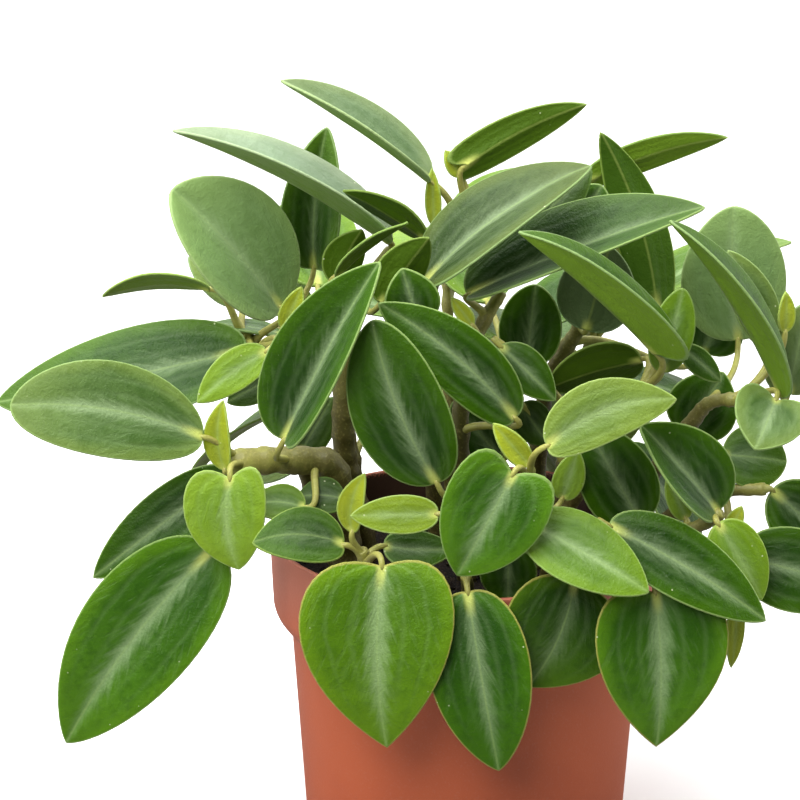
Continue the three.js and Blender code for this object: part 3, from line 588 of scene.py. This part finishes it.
def leaf_stalk(points, length, base, along, whole):
    """Adds the bent stalk from the stem round to a blade's base, and says where it leaves the stem."""
    near, best = min(((on_curve(points, k / 60) - base).length, k / 60) for k in range(61))
    at = max(STALK_LOWEST, best - STALK_DROP * near / length)
    root = on_curve(points, at)
    reach = (base - root).length / 3
    leaving = (heading(points, at) + (base - root).normalized()).normalized()
    a, b, c, d = root, root + leaving * reach, base - along * reach, base
    parts = 8 + int(reach / 1.5)
    centres, radii, tints = [], [], []
    for k in range(parts + 1):
        w = k / parts
        centres.append(a * (1 - w) ** 3 + b * 3 * w * (1 - w) ** 2 + c * 3 * w ** 2 * (1 - w) + d * w ** 3)
        radii.append(STALK_RADIUS[0] + (STALK_RADIUS[1] - STALK_RADIUS[0]) * w
                     + STALK_FOOT[0] * math.exp(-(w * reach * 3 / STALK_FOOT[1]) ** 2))
        tints.append(min(1, 0.8 + 0.3 * w))
    centres.append(base + along * 1.2)
    radii.append(STALK_RADIUS[1] * 0.7)
    tints.append(1)
    tube(centres, radii, STALK_SIDES, tints, whole)
    return at


def set_values(piece, name, kind, values):
    """Gives each corner of a piece a value, a vector or a colour under a name."""
    made = piece.data.attributes.new(name, kind, "POINT")
    field = {"FLOAT": "value", "FLOAT_VECTOR": "vector", "FLOAT_COLOR": "color"}[kind]
    made.data.foreach_set(field, np.asarray(values, dtype=np.float32).ravel())


def curve_length(points):
    """The length of a stem's curve."""
    steps = [on_curve(points, k / 200) for k in range(201)]
    return sum((b - a).length for a, b in zip(steps, steps[1:]))


def own_number(name):
    """A number of its own for each stem."""
    return sum(ord(letter) * (i + 1) for i, letter in enumerate(name)) % 89


def leafy_stem(name, thick, points, leaves):
    """Makes a stem's two pieces: its stem with the leaf stalks, and its leaves."""
    blades = {key: [] for key in ("corners", "faces", "place", "edge", "upper", "under", "rim", "habit")}
    wood = {key: [] for key in ("corners", "faces", "tints")}
    length = curve_length(points)
    nodes = []
    for i, leaf in enumerate(leaves):
        along = leaf_blade(leaf, (own_number(name) + 7.31 * i) % 97, blades)
        nodes.append(leaf_stalk(points, length, leaf[1], along, wood))
    foot = points[0].copy()
    foot.z = SOIL_LEVEL - STEM_ROOT_DEPTH
    centres, radii, tints = [foot], [thick[0] / 2], [0.0]
    parts = 12 + int(length / 1.6)
    for k in range(parts + 1):
        share = k / parts
        centre = on_curve(points, share)
        if centre.z < SOIL_LEVEL + STEM_CLEAR and share < 0.2:
            continue
        knob = sum(math.exp(-((share - at) * length / KNOBS[1]) ** 2) for at in nodes)
        scar = SCARS[0] * math.sin(share * length / SCARS[1] + own_number(name)) ** 8
        radius = (thick[0] + (thick[1] - thick[0]) * share) / 2
        radius *= 1 + KNOBS[0] * min(1, knob) + scar + GNARLS[0] * noise.noise(centre / GNARLS[1])
        centres.append(centre)
        radii.append(radius)
        tints.append(0.8 * share ** 2.2)
    tube(centres, radii, STEM_SIDES, tints, wood)
    foliage = mesh_object(name + "_leaves", blades["corners"], blades["faces"])
    for key, kind in (("place", "FLOAT_VECTOR"), ("edge", "FLOAT_VECTOR"), ("habit", "FLOAT_VECTOR"),
                      ("upper", "FLOAT_COLOR"), ("under", "FLOAT_COLOR"), ("rim", "FLOAT_COLOR")):
        set_values(foliage, key, kind, blades[key])
    foliage.data.materials.append(leaf_skin)
    stalks = mesh_object(name + "_stem", wood["corners"], wood["faces"])
    set_values(stalks, "youth", "FLOAT", wood["tints"])
    stalks.data.materials.append(stem_skin)
    for piece, slot in ((foliage, "leaf"), (stalks, "stem")):
        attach(piece, "root")
        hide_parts(name)


def as_placed(name, base, tip, wide, looks, tone, fold=12, arch=0.05, sway=0, outline="ovate"):
    """A leaf's row with its seen points and its look in space."""
    right, front, up = looks
    return name, seen(base), seen(tip), wide, Vector((right, -front, up)), tone, fold, arch, sway, outline


def grow(stems):
    """Makes every stem of a table of seen stems."""
    for name, thick, path, leaves in stems:
        leafy_stem(name, thick, [seen(point) for point in path], [as_placed(*leaf) for leaf in leaves])


# The leaf skin. Each corner of a leaf carries its place (share along, share across, half the width), its
# edge (distance in from the rim, its leaf's own number, its side), its colours, and its habit (strength
# of the pale band, which is partly a painted highlight, roughness, length).
LEAF_CLOUDS = 90.0
LEAF_BLOTCHES = 300.0
LEAF_SPECKS = 330.0
LEAF_GRAINS = 1400.0
# What is left of the upper side's red, green and blue where it is clouded, blotched, dark in the middle
# of the leaf, and lit near its margin
CLOUDED = (0.62, 0.66, 0.55)
BLOTCHED = (0.5, 0.6, 0.4)
DARK_CORE = (0.3, 0.45, 0.15)
LIT_MARGIN = (1.75, 1.45, 1.0)
GRAIN_GREEN = (150, 185, 90)
BAND_GREEN = (168, 190, 144)
RIB_ABOVE = (150, 176, 100)
RIB_BELOW = (150, 166, 84)
HEEL_YELLOW = (196, 204, 104)
SPECK_WHITE = (214, 220, 180)
# The two side veins of each half: how far out they lie, as a share of its width, and how thick they are
SIDE_VEINS = ((0.34, 0.5), (0.66, 0.4))
EULER = 2.718

leaf_skin, tree, shader = new_material("peperomia leaf")


def carried(name, output):
    """What the corners of a leaf carry under a name."""
    return add(tree, "Attribute", attribute_name=name, attribute_type="GEOMETRY").outputs[output]


along_s, across_t, half_width = add(tree, "SeparateXYZ", {0: carried("place", "Vector")}).outputs
rim_away, own, below = add(tree, "SeparateXYZ", {0: carried("edge", "Vector")}).outputs
band_strength, gloss, blade_length = add(tree, "SeparateXYZ", {0: carried("habit", "Vector")}).outputs
across_u = sums(tree, "ABSOLUTE", across_t)
rib_away = times(tree, across_u, half_width)
here = add(tree, "TexCoord").outputs["Object"]
broad = cloudiness(tree, here, LEAF_CLOUDS, 3.0)
fine = cloudiness(tree, here, LEAF_GRAINS, 3.0, 0.6)
wander = sums(tree, "MULTIPLY_ADD", broad, 0.16, -0.08)

# Streaks fan out of the midrib towards the tip, as the side veins do
length_in = times(tree, along_s, blade_length)
streak_place = add(tree, "CombineXYZ", {
    0: sums(tree, "SUBTRACT", times(tree, length_in, 0.3), times(tree, rib_away, 0.7)),
    1: times(tree, sums(tree, "ADD", length_in, rib_away), 0.09),
    2: sums(tree, "MULTIPLY_ADD", across_t, 0.6, own)}).outputs[0]
streaks = cloudiness(tree, streak_place, 1.0, 3.0)

# Faint veins arch from the base to the tip beside the midrib, and finer ones branch off them
u_wander = sums(tree, "ADD", across_u, wander)
veins = None
for share, width in SIDE_VEINS:
    off = times(tree, sums(tree, "ABSOLUTE", sums(tree, "SUBTRACT", u_wander, share)), half_width)
    vein = slide(tree, off, width * 3.0, 0.0)
    veins = vein if veins is None else sums(tree, "MAXIMUM", veins, vein)
veins = sums(tree, "MAXIMUM", veins, times(tree, slide(tree, streaks, 0.52, 0.68), 0.8))
veins = times(tree, veins, slide(tree, along_s, 0.95, 0.35))

# The pale band: a soft feathered streak along the midrib, partly the leaf's own paler stripe and partly a
# painted highlight
feather = sums(tree, "MULTIPLY_ADD", slide(tree, streaks, 0.3, 0.7), 0.6, 0.7)
band_half = times(tree, sums(tree, "MULTIPLY_ADD", half_width, 0.13, 0.5), feather)
reach = sums(tree, "DIVIDE", rib_away, band_half)
band = sums(tree, "POWER", EULER, times(tree, times(tree, reach, reach), -1.0))
band = times(tree, band, slide(tree, fine, 0.3, 0.7, 0.75, 1.0))
band = times(tree, band, slide(tree, along_s, 1.0, 0.55, 0.35, 1.0))
band = times(tree, band, band_strength)

# The midrib's own line, the yellow heel of the blade, its rim, and salt-fine white specks near the rim
rib_line = slide(tree, rib_away, 0.55, 0.1)
heel = times(tree, slide(tree, along_s, 0.16, 0.0), slide(tree, rib_away, 2.2, 0.4))
rim = slide(tree, rim_away, 0.6, 0.2)
specks = add(tree, "TexVoronoi", {"Vector": here, "Scale": LEAF_SPECKS}).outputs
speck = times(tree, slide(tree, specks[0], 0.11, 0.06),
              slide(tree, add(tree, "SeparateColor", {0: specks[1]}).outputs[0], 0.82, 0.86))
speck = times(tree, speck, slide(tree, rim_away, 5.0, 1.0))

upper = carried("upper", "Color")
under = carried("under", "Color")


def shaded(shares):
    """The upper side's own colour times a share of red, green and blue."""
    return blend(tree, 1.0, upper, (*shares, 1), "MULTIPLY")


# The upper side: the darker a leaf's green, the deeper its blotches, the darker its middle near the base
# and the brighter its margin and its tip
top = blend(tree, slide(tree, broad, 0.35, 0.7, 0.0, 0.35), upper, shaded(CLOUDED))
depth = slide(tree, add(tree, "SeparateColor", {0: upper}).outputs[1], 0.25, 0.12, 0.2, 0.7)
blotch = cloudiness(tree, here, LEAF_BLOTCHES, 2.0)
top = blend(tree, times(tree, slide(tree, blotch, 0.45, 0.68), depth), top, shaded(BLOTCHED))
grainy = blend(tree, 0.35, upper, linear(*GRAIN_GREEN))
top = blend(tree, slide(tree, fine, 0.5, 0.8, 0.0, 0.15), top, grainy)
margin = slide(tree, sums(tree, "MULTIPLY_ADD", broad, 5.0, rim_away), 8.0, 2.5)
margin = sums(tree, "MAXIMUM", margin, slide(tree, along_s, 0.55, 1.0, 0.0, 0.8))
margin = times(tree, margin, depth)
inside = slide(tree, sums(tree, "MULTIPLY_ADD", broad, -4.0, rim_away), -0.5, 4.0)
core = times(tree, slide(tree, along_s, 0.75, 0.15), inside)
core = times(tree, core, times(tree, depth, 1.15))
top = blend(tree, core, top, shaded(DARK_CORE))
top = blend(tree, margin, top, shaded(LIT_MARGIN))
pale = blend(tree, 0.6, upper, linear(*BAND_GREEN))
top = blend(tree, times(tree, veins, 0.09), top, pale)
top = blend(tree, band, top, pale)
top = blend(tree, times(tree, rib_line, 0.2), top, linear(*RIB_ABOVE))

# The underside, then what both sides share
low = blend(tree, slide(tree, broad, 0.35, 0.7, 0.0, 0.3), under, blend(tree, 0.4, under, upper))
low = blend(tree, times(tree, rib_line, 0.35), low, linear(*RIB_BELOW))
skin = blend(tree, below, top, low)
skin = blend(tree, times(tree, heel, 0.9), skin, linear(*HEEL_YELLOW))
skin = blend(tree, times(tree, rim, 0.85), skin, carried("rim", "Color"))
skin = blend(tree, times(tree, speck, 0.7), skin, linear(*SPECK_WHITE))
tree.links.new(skin, shader.inputs["Base Color"])
rough = sums(tree, "ADD", gloss, times(tree, below, 0.15))
rough = sums(tree, "ADD", rough, sums(tree, "MULTIPLY_ADD", fine, 0.12, -0.06))
tree.links.new(rough, shader.inputs["Roughness"])
shader.inputs["Specular IOR Level"].default_value = 0.16
shader.inputs["Sheen Weight"].default_value = 0.06
shader.inputs["Sheen Roughness"].default_value = 0.4
height = sums(tree, "SUBTRACT", times(tree, fine, 0.35), times(tree, veins, 0.15))
height = sums(tree, "MULTIPLY_ADD", blotch, 0.5, height)
bumpy(tree, shader, height, 0.9, 0.0007)

# The stem skin: olive-brown with paler patches low down, turning yellow-green towards the leaves
BARK_DEEP = (78, 60, 26)
BARK_PALE = (176, 164, 92)
stem_skin, tree, shader = new_material("peperomia stem")
youth = add(tree, "Attribute", attribute_name="youth", attribute_type="GEOMETRY").outputs["Fac"]
bark = blend(tree, youth, linear(*STEM_COLOUR), linear(*STALK_COLOUR))
colour, grain = mottled(tree, bark, blend(tree, 0.5, bark, linear(*BARK_DEEP)),
                        blend(tree, 0.5, bark, linear(*BARK_PALE)),
                        clouds=220.0, grains=1300.0, amount=0.55)
tree.links.new(colour, shader.inputs["Base Color"])
shader.inputs["Roughness"].default_value = 0.5
bumpy(tree, shader, grain, 0.4, 0.0004)

grow(LEFT_STEMS)


# ---- Leafy stems at the front ----------------------------------------
# Shorter stems of the same kind lean out over the rim at the front. Their lowest leaves hang down over
# the pot's collar, and the oldest of these have a tan rim.
FRONT_STEMS = [
    ("stem_front_left", (4.6, 3),
     [(380, 604, 38), (368, 580, 44), (362, 550, 48)],
     [("front left mid", (344, 545, 50), (252, 543, 52), 17.5, (0, 0.75, 0.65), "low olive", 12, 0.05, 0.09),
      ("front left young", (352, 533, 50), (365, 473, 50), 8.5, (-0.2, 1, 0.1),
       "lime", 30, 0.02, -0.1, "slim"),
      ("front left dark", (384, 546, 45), (456, 549, 45), 11.8, (0, 0.8, 0.6), "dark", 12, 0.05, 0.05),
      ("front heart", (382, 566, 63), (387, 748, 72), 45, (0, 1, 0.2), "moss", 14, 0.05, 0.04, "tapered")]),
    ("stem_front_mid", (5.4, 3.4),
     [(527, 600, 34), (528, 560, 42), (528, 515, 48), (530, 474, 50)],
     [("mid heart", (513, 474, 62), (457, 576, 64), 30.5, (0, 1, 0.2), "leaf green", 12, 0.05, 0, "heart"),
      ("mid young", (530, 466, 54), (493, 423, 54), 8, (0, 1, 0.3), "lime", 35, 0.02, 0, "slim"),
      ("mid light", (547, 446, 60), (677, 399, 60), 18.5, (0, 0.9, 0.4), "soft green", 12, 0.04, -0.1),
      ("mid low light", (529, 524, 57), (649, 593, 72), 22, (0.1, 0.8, 0.6), "mid"),
      ("mid lime", (438, 514, 55), (350, 516, 55), 11.5, (0, 0.9, 0.4), "pale lime", 12, 0.04),
      ("mid olive", (562, 499, 40), (578, 450, 40), 9.5, (0, 1, 0.2), "light", 12, 0.04),
      ("low right", (574, 580, 57.5), (527, 687, 62.5), 37, (0.2, 1, 0.15), "fern", 16, 0.05, -0.06),
      ("low dark", (508, 548, 46), (508, 606, 50), 17, (0, 1, 0.4), "dark")]),
    ("stem_front_low", (4.2, 3),
     [(468, 600, 35), (468, 588, 44), (466, 576, 52)],
     [("low left", (468, 592, 63), (499, 771, 72), 30, (-0.1, 1, 0.15), "forest", 14)]),
]

grow(FRONT_STEMS)


# ---- Leafy stems in the middle ---------------------------------------
# The tallest stems of the same kind rise in the middle of the pot and carry the crown, whose long leaves
# look up and are folded along the midrib.
MIDDLE_STEMS = [
    ("stem_centre", (6, 3.4),
     [(467, 580, 14), (464, 500, 18), (460, 430, 20), (466, 370, 18), (482, 325, 12), (502, 292, 8)],
     [("centre dark", (437, 483, 50), (372, 320, 48), 28, (-0.1, 0.95, 0.2), "dark", 14, 0.04, -0.04, "oval"),
      ("centre right dark", (515, 418, 38), (378, 303, 38), 20, (0.1, 0.9, 0.3), "dark", 14, 0.04, 0.045),
      ("centre top dark", (418, 322, 33), (402, 268, 33), 17, (0, 0.9, 0.3), "dark", 24, 0.04),
      ("centre young", (473, 326, 28), (451, 297, 28), 5, (0, 0.9, 0.3), "lime", 30, 0.03, 0, "slim"),
      ("centre shade", (504, 462, 5), (452, 402, 4), 20.3, (0, 0.9, 0.4), "dark", 12, 0.03),
      ("long glossy", (468, 295, 14), (705, 207, 17), 31, (-0.1, 0.4, 0.9), "gloss", 33, 0.03)]),
    ("stem_crown", (6, 3.4),
     [(440, 560, -6), (433, 450, -4), (430, 350, -4), (432, 270, -3), (442, 238, -2), (472, 207, -3)],
     [("crown left high", (429, 180, 2), (281, 80, 2), 24.3, (0.25, 0.15, 1), "crown sage", 36, 0.02),
      ("crown bud", (434, 226, 2), (432, 168, 2), 5.2, (0, 1, 0), "lime", 30, 0.02, 0, "slim"),
      ("crown right", (424, 284, 25), (592, 166, 17), 30, (-0.1, 0.35, 0.95), "crown", 22, 0.06, -0.02),
      ("crown right high", (466, 165, 0), (587, 104, -6), 12.3, (0.2, -1, 0.1),
       "olive", 12, 0.04, 0.035, "heart"),
      ("crown right back", (500, 258, -1), (592, 170, -5), 17, (0.3, 0.6, 0.7), "shade", 12, 0.04),
      ("crown tiny", (461, 177, -2), (445, 150, -2), 5.5, (0.3, 1, 0), "lime", 20, 0.02, 0, "slim")]),
    ("stem_right_inner", (5.4, 3.2),
     [(545, 580, 14), (572, 500, 18), (620, 425, 22), (646, 385, 26)],
     [("top folded", (655, 352, 42), (519, 231, 46), 31, (0.5, -0.05, 0.8), "deep", 46, 0.02, 0, "heart"),
      ("light round", (662, 372, 28), (683, 288, 28), 13, (0, 1, 0.2), "mid", 12, 0.05, 0, "oval"),
      ("inner olive", (641, 359, 10), (545, 388, 8), 20, (0, -0.9, 0.5), "olive", 12, 0.04),
      ("inner dark", (682, 348, 18), (721, 382, 18), 8, (0, 0.8, 0.5), "dark"),
      ("inner mid", (520, 405, 20), (548, 445, 20), 12, (0, 0.8, 0.5), "shade"),
      ("centre strip", (500, 346, 24), (556, 401, 27), 13, (0, 0.8, 0.5), "dark", 12, 0.04, 0, "slim")]),
    ("stem_back_right", (5.6, 3.4),
     [(533, 546, -20), (538, 460, -18), (547, 385, -15), (565, 350, -13),
      (583, 322, -12), (612, 270, -14), (622, 250, -15)],
     [("back round", (527, 366, -8), (536, 284, -10), 19.5, (-0.2, 1, 0.2), "dark", 12, 0.04, 0, "oval"),
      ("back grey", (586, 330, -5), (610, 245, -5), 24, (0.2, -1, 0.2), "grey"),
      ("back upright", (657, 318, -6), (600, 132, -13), 17, (-0.3, -1, 0), "young olive", 14, 0.04, -0.07),
      ("back high", (582, 184, -18), (728, 137, -22), 10.8, (0.2, -1, 0.3), "mid", 12, 0.04, 0.037),
      ("back black", (585, 215, -12), (602, 185, -12), 11, (0, 0.8, 0.5), "dark", 12, 0.05, 0, "oval"),
      ("back shaded", (703, 352, -33), (725, 300, -33), 20, (0, 1, 0.2), "dark")]),
]

grow(MIDDLE_STEMS)


# ---- Leafy stems on the right ----------------------------------------
# Stems of the same kind lean right, one low over the rim, one level and one climbing. Their leaves reach
# out past the pot, and the longest of the climbing one is folded along its midrib.
RIGHT_STEMS = [
    ("stem_front_right", (5.4, 3.4),
     [(588, 588, 25), (606, 568, 28), (640, 544, 34), (690, 530, 42), (722, 512, 44)],
     [("right low", (655, 592, 62), (656, 747, 68), 40, (0.2, 1, 0.1),
       "leaf green", 14, 0.05, -0.02, "tapered"),
      ("right glossy", (609, 526, 56), (766, 621, 62), 22, (0.1, 0.8, 0.6), "dark", 14, 0.05, -0.01),
      ("right dark", (717, 512, 44), (640, 425, 46), 27, (0.44, 0.82, 0.6), "dark", 40, 0.03),
      ("right darkest", (640, 522, 34), (582, 420, 34), 23, (0, 0.9, 0.4), "dark", 14),
      ("right light back", (718, 524, 51), (762, 600, 52), 17, (0.2, 0.9, 0.4), "fern light"),
      ("right olive", (686, 519, 40), (667, 476, 40), 7, (0, 0.9, 0.4), "light"),
      ("right strip", (736, 600, 44), (731, 668, 44), 6, (0.3, 0.9, 0.1), "lime"),
      ("right tiny", (730, 530, 40), (742, 506, 40), 5, (0, 0.9, 0.4), "lime")]),
    ("stem_right_low", (5, 3.4),
     [(615, 572, 6), (660, 525, 14), (705, 494, 22), (765, 489, 28)],
     [("right far low", (742, 556, 39), (872, 590, 40), 25, (0, 0.95, 0.3), "dark"),
      ("right far", (772, 490, 26), (866, 575, 24), 24, (0, 0.9, 0.4), "dark", 12, 0.05, 0, "oval"),
      ("right inner dark", (722, 455, 20), (787, 462, 20), 20, (0, 0.8, 0.6), "fern", 12, 0.04, 0, "oval")]),
    ("stem_right_rising", (5.6, 3.4),
     [(580, 566, 0), (640, 490, 5), (690, 425, 10), (712, 402, 13), (750, 400, 18)],
     [("right folded", (782, 396, 32), (670, 220, 33), 27, (0.5, 0.05, 0.9), "deep", 39, 0.04),
      ("right light heart", (776, 400, 38), (755, 450, 53), 22, (0, 1, 0.6), "sage", 12, 0.05, 0, "heart"),
      ("right upper mid", (768, 342, 10), (728, 250, 8), 14, (0.2, 1, 0.3), "sage", 12, 0.04, 0.02),
      ("right edge", (788, 394, 6), (804, 303, 4), 20, (0.2, 1, 0.3), "grey"),
      ("right yellow", (785, 333, 14), (786, 291, 14), 6, (0.3, 1, 0), "lime", 30, 0.03, 0, "slim"),
      ("right big oval", (738, 340, -25), (733, 206, -25), 33, (0.1, 1, 0.3),
       "pale sage", 12, 0.04, -0.03, "oval"),
      ("right deep", (686, 434, -2), (724, 372, -6), 22, (0, 1, 0.3), "dark", 12, 0.04)]),
]

grow(RIGHT_STEMS)


# ---- Leafy stems at the back -----------------------------------------
# More of the same stems fill the back of the pot: three lean out low down and one climbs behind the
# crown. Their leaves turn about them by a rule, drooping at the bottom and lifted at the top.

# A row: name, where it stands, its rise above the soil, how far it leans out, the bare share of it, the
# pitch of its lowest leaf in degrees, how many leaves, and the seed of their draws.
BACK_STEMS = [
    ("stem_far_left", (-33, 38), 62, 18, 0.3, -58, 6, 5),
    ("stem_far_middle", (-4, 46), 72, 14, 0.3, -58, 6, 11),
    ("stem_far_right", (30, 38), 60, 18, 0.3, -58, 6, 23),
    ("stem_far_centre", (10, 22), 64, 6, 0.66, -15, 4, 129),
]
BACK_TONES = ("dark", "mid", "deep", "mid", "light", "mid")
BACK_THICK = (5.4, 3)
# Length and width of an average leaf, and the length of its stalk
BACK_LEAF = (50, 31)
BACK_STALK = 20
# How far leaves turn to either side of their stem's lean, the share of that range between one leaf and
# the next, and the pitch of the top leaf in degrees
BACK_SPREAD = math.radians(75)
BACK_TURN = 0.618
BACK_LIFTED = 22
# Draws by a linear congruential series
DRAW_FACTOR, DRAW_STEP, DRAW_RANGE = 1664525, 1013904223, 2 ** 32


def outward(azimuth, pitch):
    """The direction at an azimuth about the pot and a pitch above level."""
    level = math.cos(pitch)
    return Vector((math.cos(azimuth) * level, math.sin(azimuth) * level, math.sin(pitch)))


for name, root, rise, reach, bare, droop, count, state in BACK_STEMS:
    out = math.atan2(root[1], root[0])
    foot = Vector((*root, SOIL_LEVEL))
    points = [foot + outward(out, 0) * reach * share ** 1.5 + Vector((0, 0, rise * share))
              for share in (0, 0.3, 0.65, 1)]
    leaves = []
    for i in range(count):
        draws = []
        for _ in range(3):
            state = (DRAW_FACTOR * state + DRAW_STEP) % DRAW_RANGE
            draws.append(state / DRAW_RANGE)
        share = i / (count - 1)
        turn = 2 * ((i * BACK_TURN + draws[0] * 0.1) % 1) - 1
        azimuth = out + BACK_SPREAD * turn * (1 - 0.3 * share)
        pitch = math.radians(droop + (BACK_LIFTED - droop) * share) + 0.2 * (draws[1] - 0.5)
        size = 0.85 + 0.3 * draws[2]
        node = on_curve(points, bare + (1 - bare) * share)
        base = node + outward(azimuth, 0.45) * BACK_STALK * (1.1 - 0.3 * share)
        tip = base + outward(azimuth, pitch) * BACK_LEAF[0] * size
        looks = outward(azimuth, pitch + math.pi / 2)
        wide = BACK_LEAF[1] * size
        leaves.append((f"{name} {i}", base, tip, wide, looks, BACK_TONES[i], 14, 0.08, 0, "ovate"))
    leafy_stem(name, BACK_THICK, points, leaves)


# ---- Room ------------------------------------------------------------
# A white paper floor in a pale room: bright above and behind, dim low down in front, as in a studio tent
# that is open towards the camera, with soft boxes overhead, in front and at both sides.
FLOOR_RADIUS = 6000
FLOOR_THICK = 60
FLOOR_SIDES = 96
PAPER_SEEN = (0.93, 0.93, 0.93, 1)
PAPER_LIGHTING = (0.22, 0.22, 0.22, 1)
ROOM_LIGHT = (0.07, 2.0)
SENSOR = 36

slab = [(0, -FLOOR_THICK), (FLOOR_RADIUS, -FLOOR_THICK), (FLOOR_RADIUS, 0), (0, 0)]
floor = mesh_object("floor", *turned(slab, FLOOR_SIDES), smooth=False)
paper, tree, shader = new_material("white floor")
# The paper is white to the eye, but it throws little light back up at the plant
straight = add(tree, "LightPath").outputs["Is Camera Ray"]
tree.links.new(blend(tree, straight, PAPER_LIGHTING, PAPER_SEEN), shader.inputs["Base Color"])
shader.inputs["Roughness"].default_value = 0.9
shader.inputs["Specular IOR Level"].default_value = 0.1
floor.data.materials.append(paper)

world = bpy.data.worlds.new("pale room")
bpy.context.scene.world = world
world.use_nodes = True
tree = world.node_tree
facing = add(tree, "SeparateXYZ", {0: add(tree, "TexCoord").outputs["Generated"]}).outputs
raised = sums(tree, "ADD", times(tree, facing[2], 0.8), times(tree, facing[1], 0.45))
light = slide(tree, raised, 0.3, 0.8, *ROOM_LIGHT)
light = sums(tree, "MAXIMUM", light, add(tree, "LightPath").outputs["Is Camera Ray"])
tree.nodes["Background"].inputs["Color"].default_value = (1, 1, 1, 1)
tree.links.new(light, tree.nodes["Background"].inputs["Strength"])


def soft_light(name, place, aim, wide, power):
    """A square soft box, in metres and watts, which the camera doesn't see."""
    lamp = bpy.data.lights.new(name, "AREA")
    lamp.shape = "SQUARE"
    lamp.size = wide
    lamp.energy = power
    made = bpy.data.objects.new(name, lamp)
    made.location = place
    made.rotation_euler = (Vector(aim) - Vector(place)).to_track_quat("-Z", "Y").to_euler()
    made.visible_camera = False
    bpy.context.collection.objects.link(made)


plant_middle = (-0.02, 0, 0.13)
soft_light("overhead", (-0.3, -0.2, 1.3), plant_middle, 1.0, 22)
soft_light("front", (-0.5, -1.2, 1.25), plant_middle, 0.8, 20)
soft_light("left", (-1.6, 0, 0.6), plant_middle, 0.8, 9)
soft_light("right", (1.4, 0.3, 0.5), plant_middle, 0.6, 8)

lens = bpy.data.cameras.new("camera")
lens.sensor_width = SENSOR
lens.lens = SENSOR * VIEW_DISTANCE / VIEW_WIDTH
camera = bpy.data.objects.new("camera", lens)
backwards = Vector((0, -math.cos(VIEW_PITCH), math.sin(VIEW_PITCH)))
camera.location = (VIEW_CENTRE + backwards * VIEW_DISTANCE) / 1000
camera.rotation_euler = (math.pi / 2 - VIEW_PITCH, 0, 0)
bpy.context.collection.objects.link(camera)
bpy.context.scene.camera = camera
bpy.context.scene.view_settings.view_transform = "Standard"
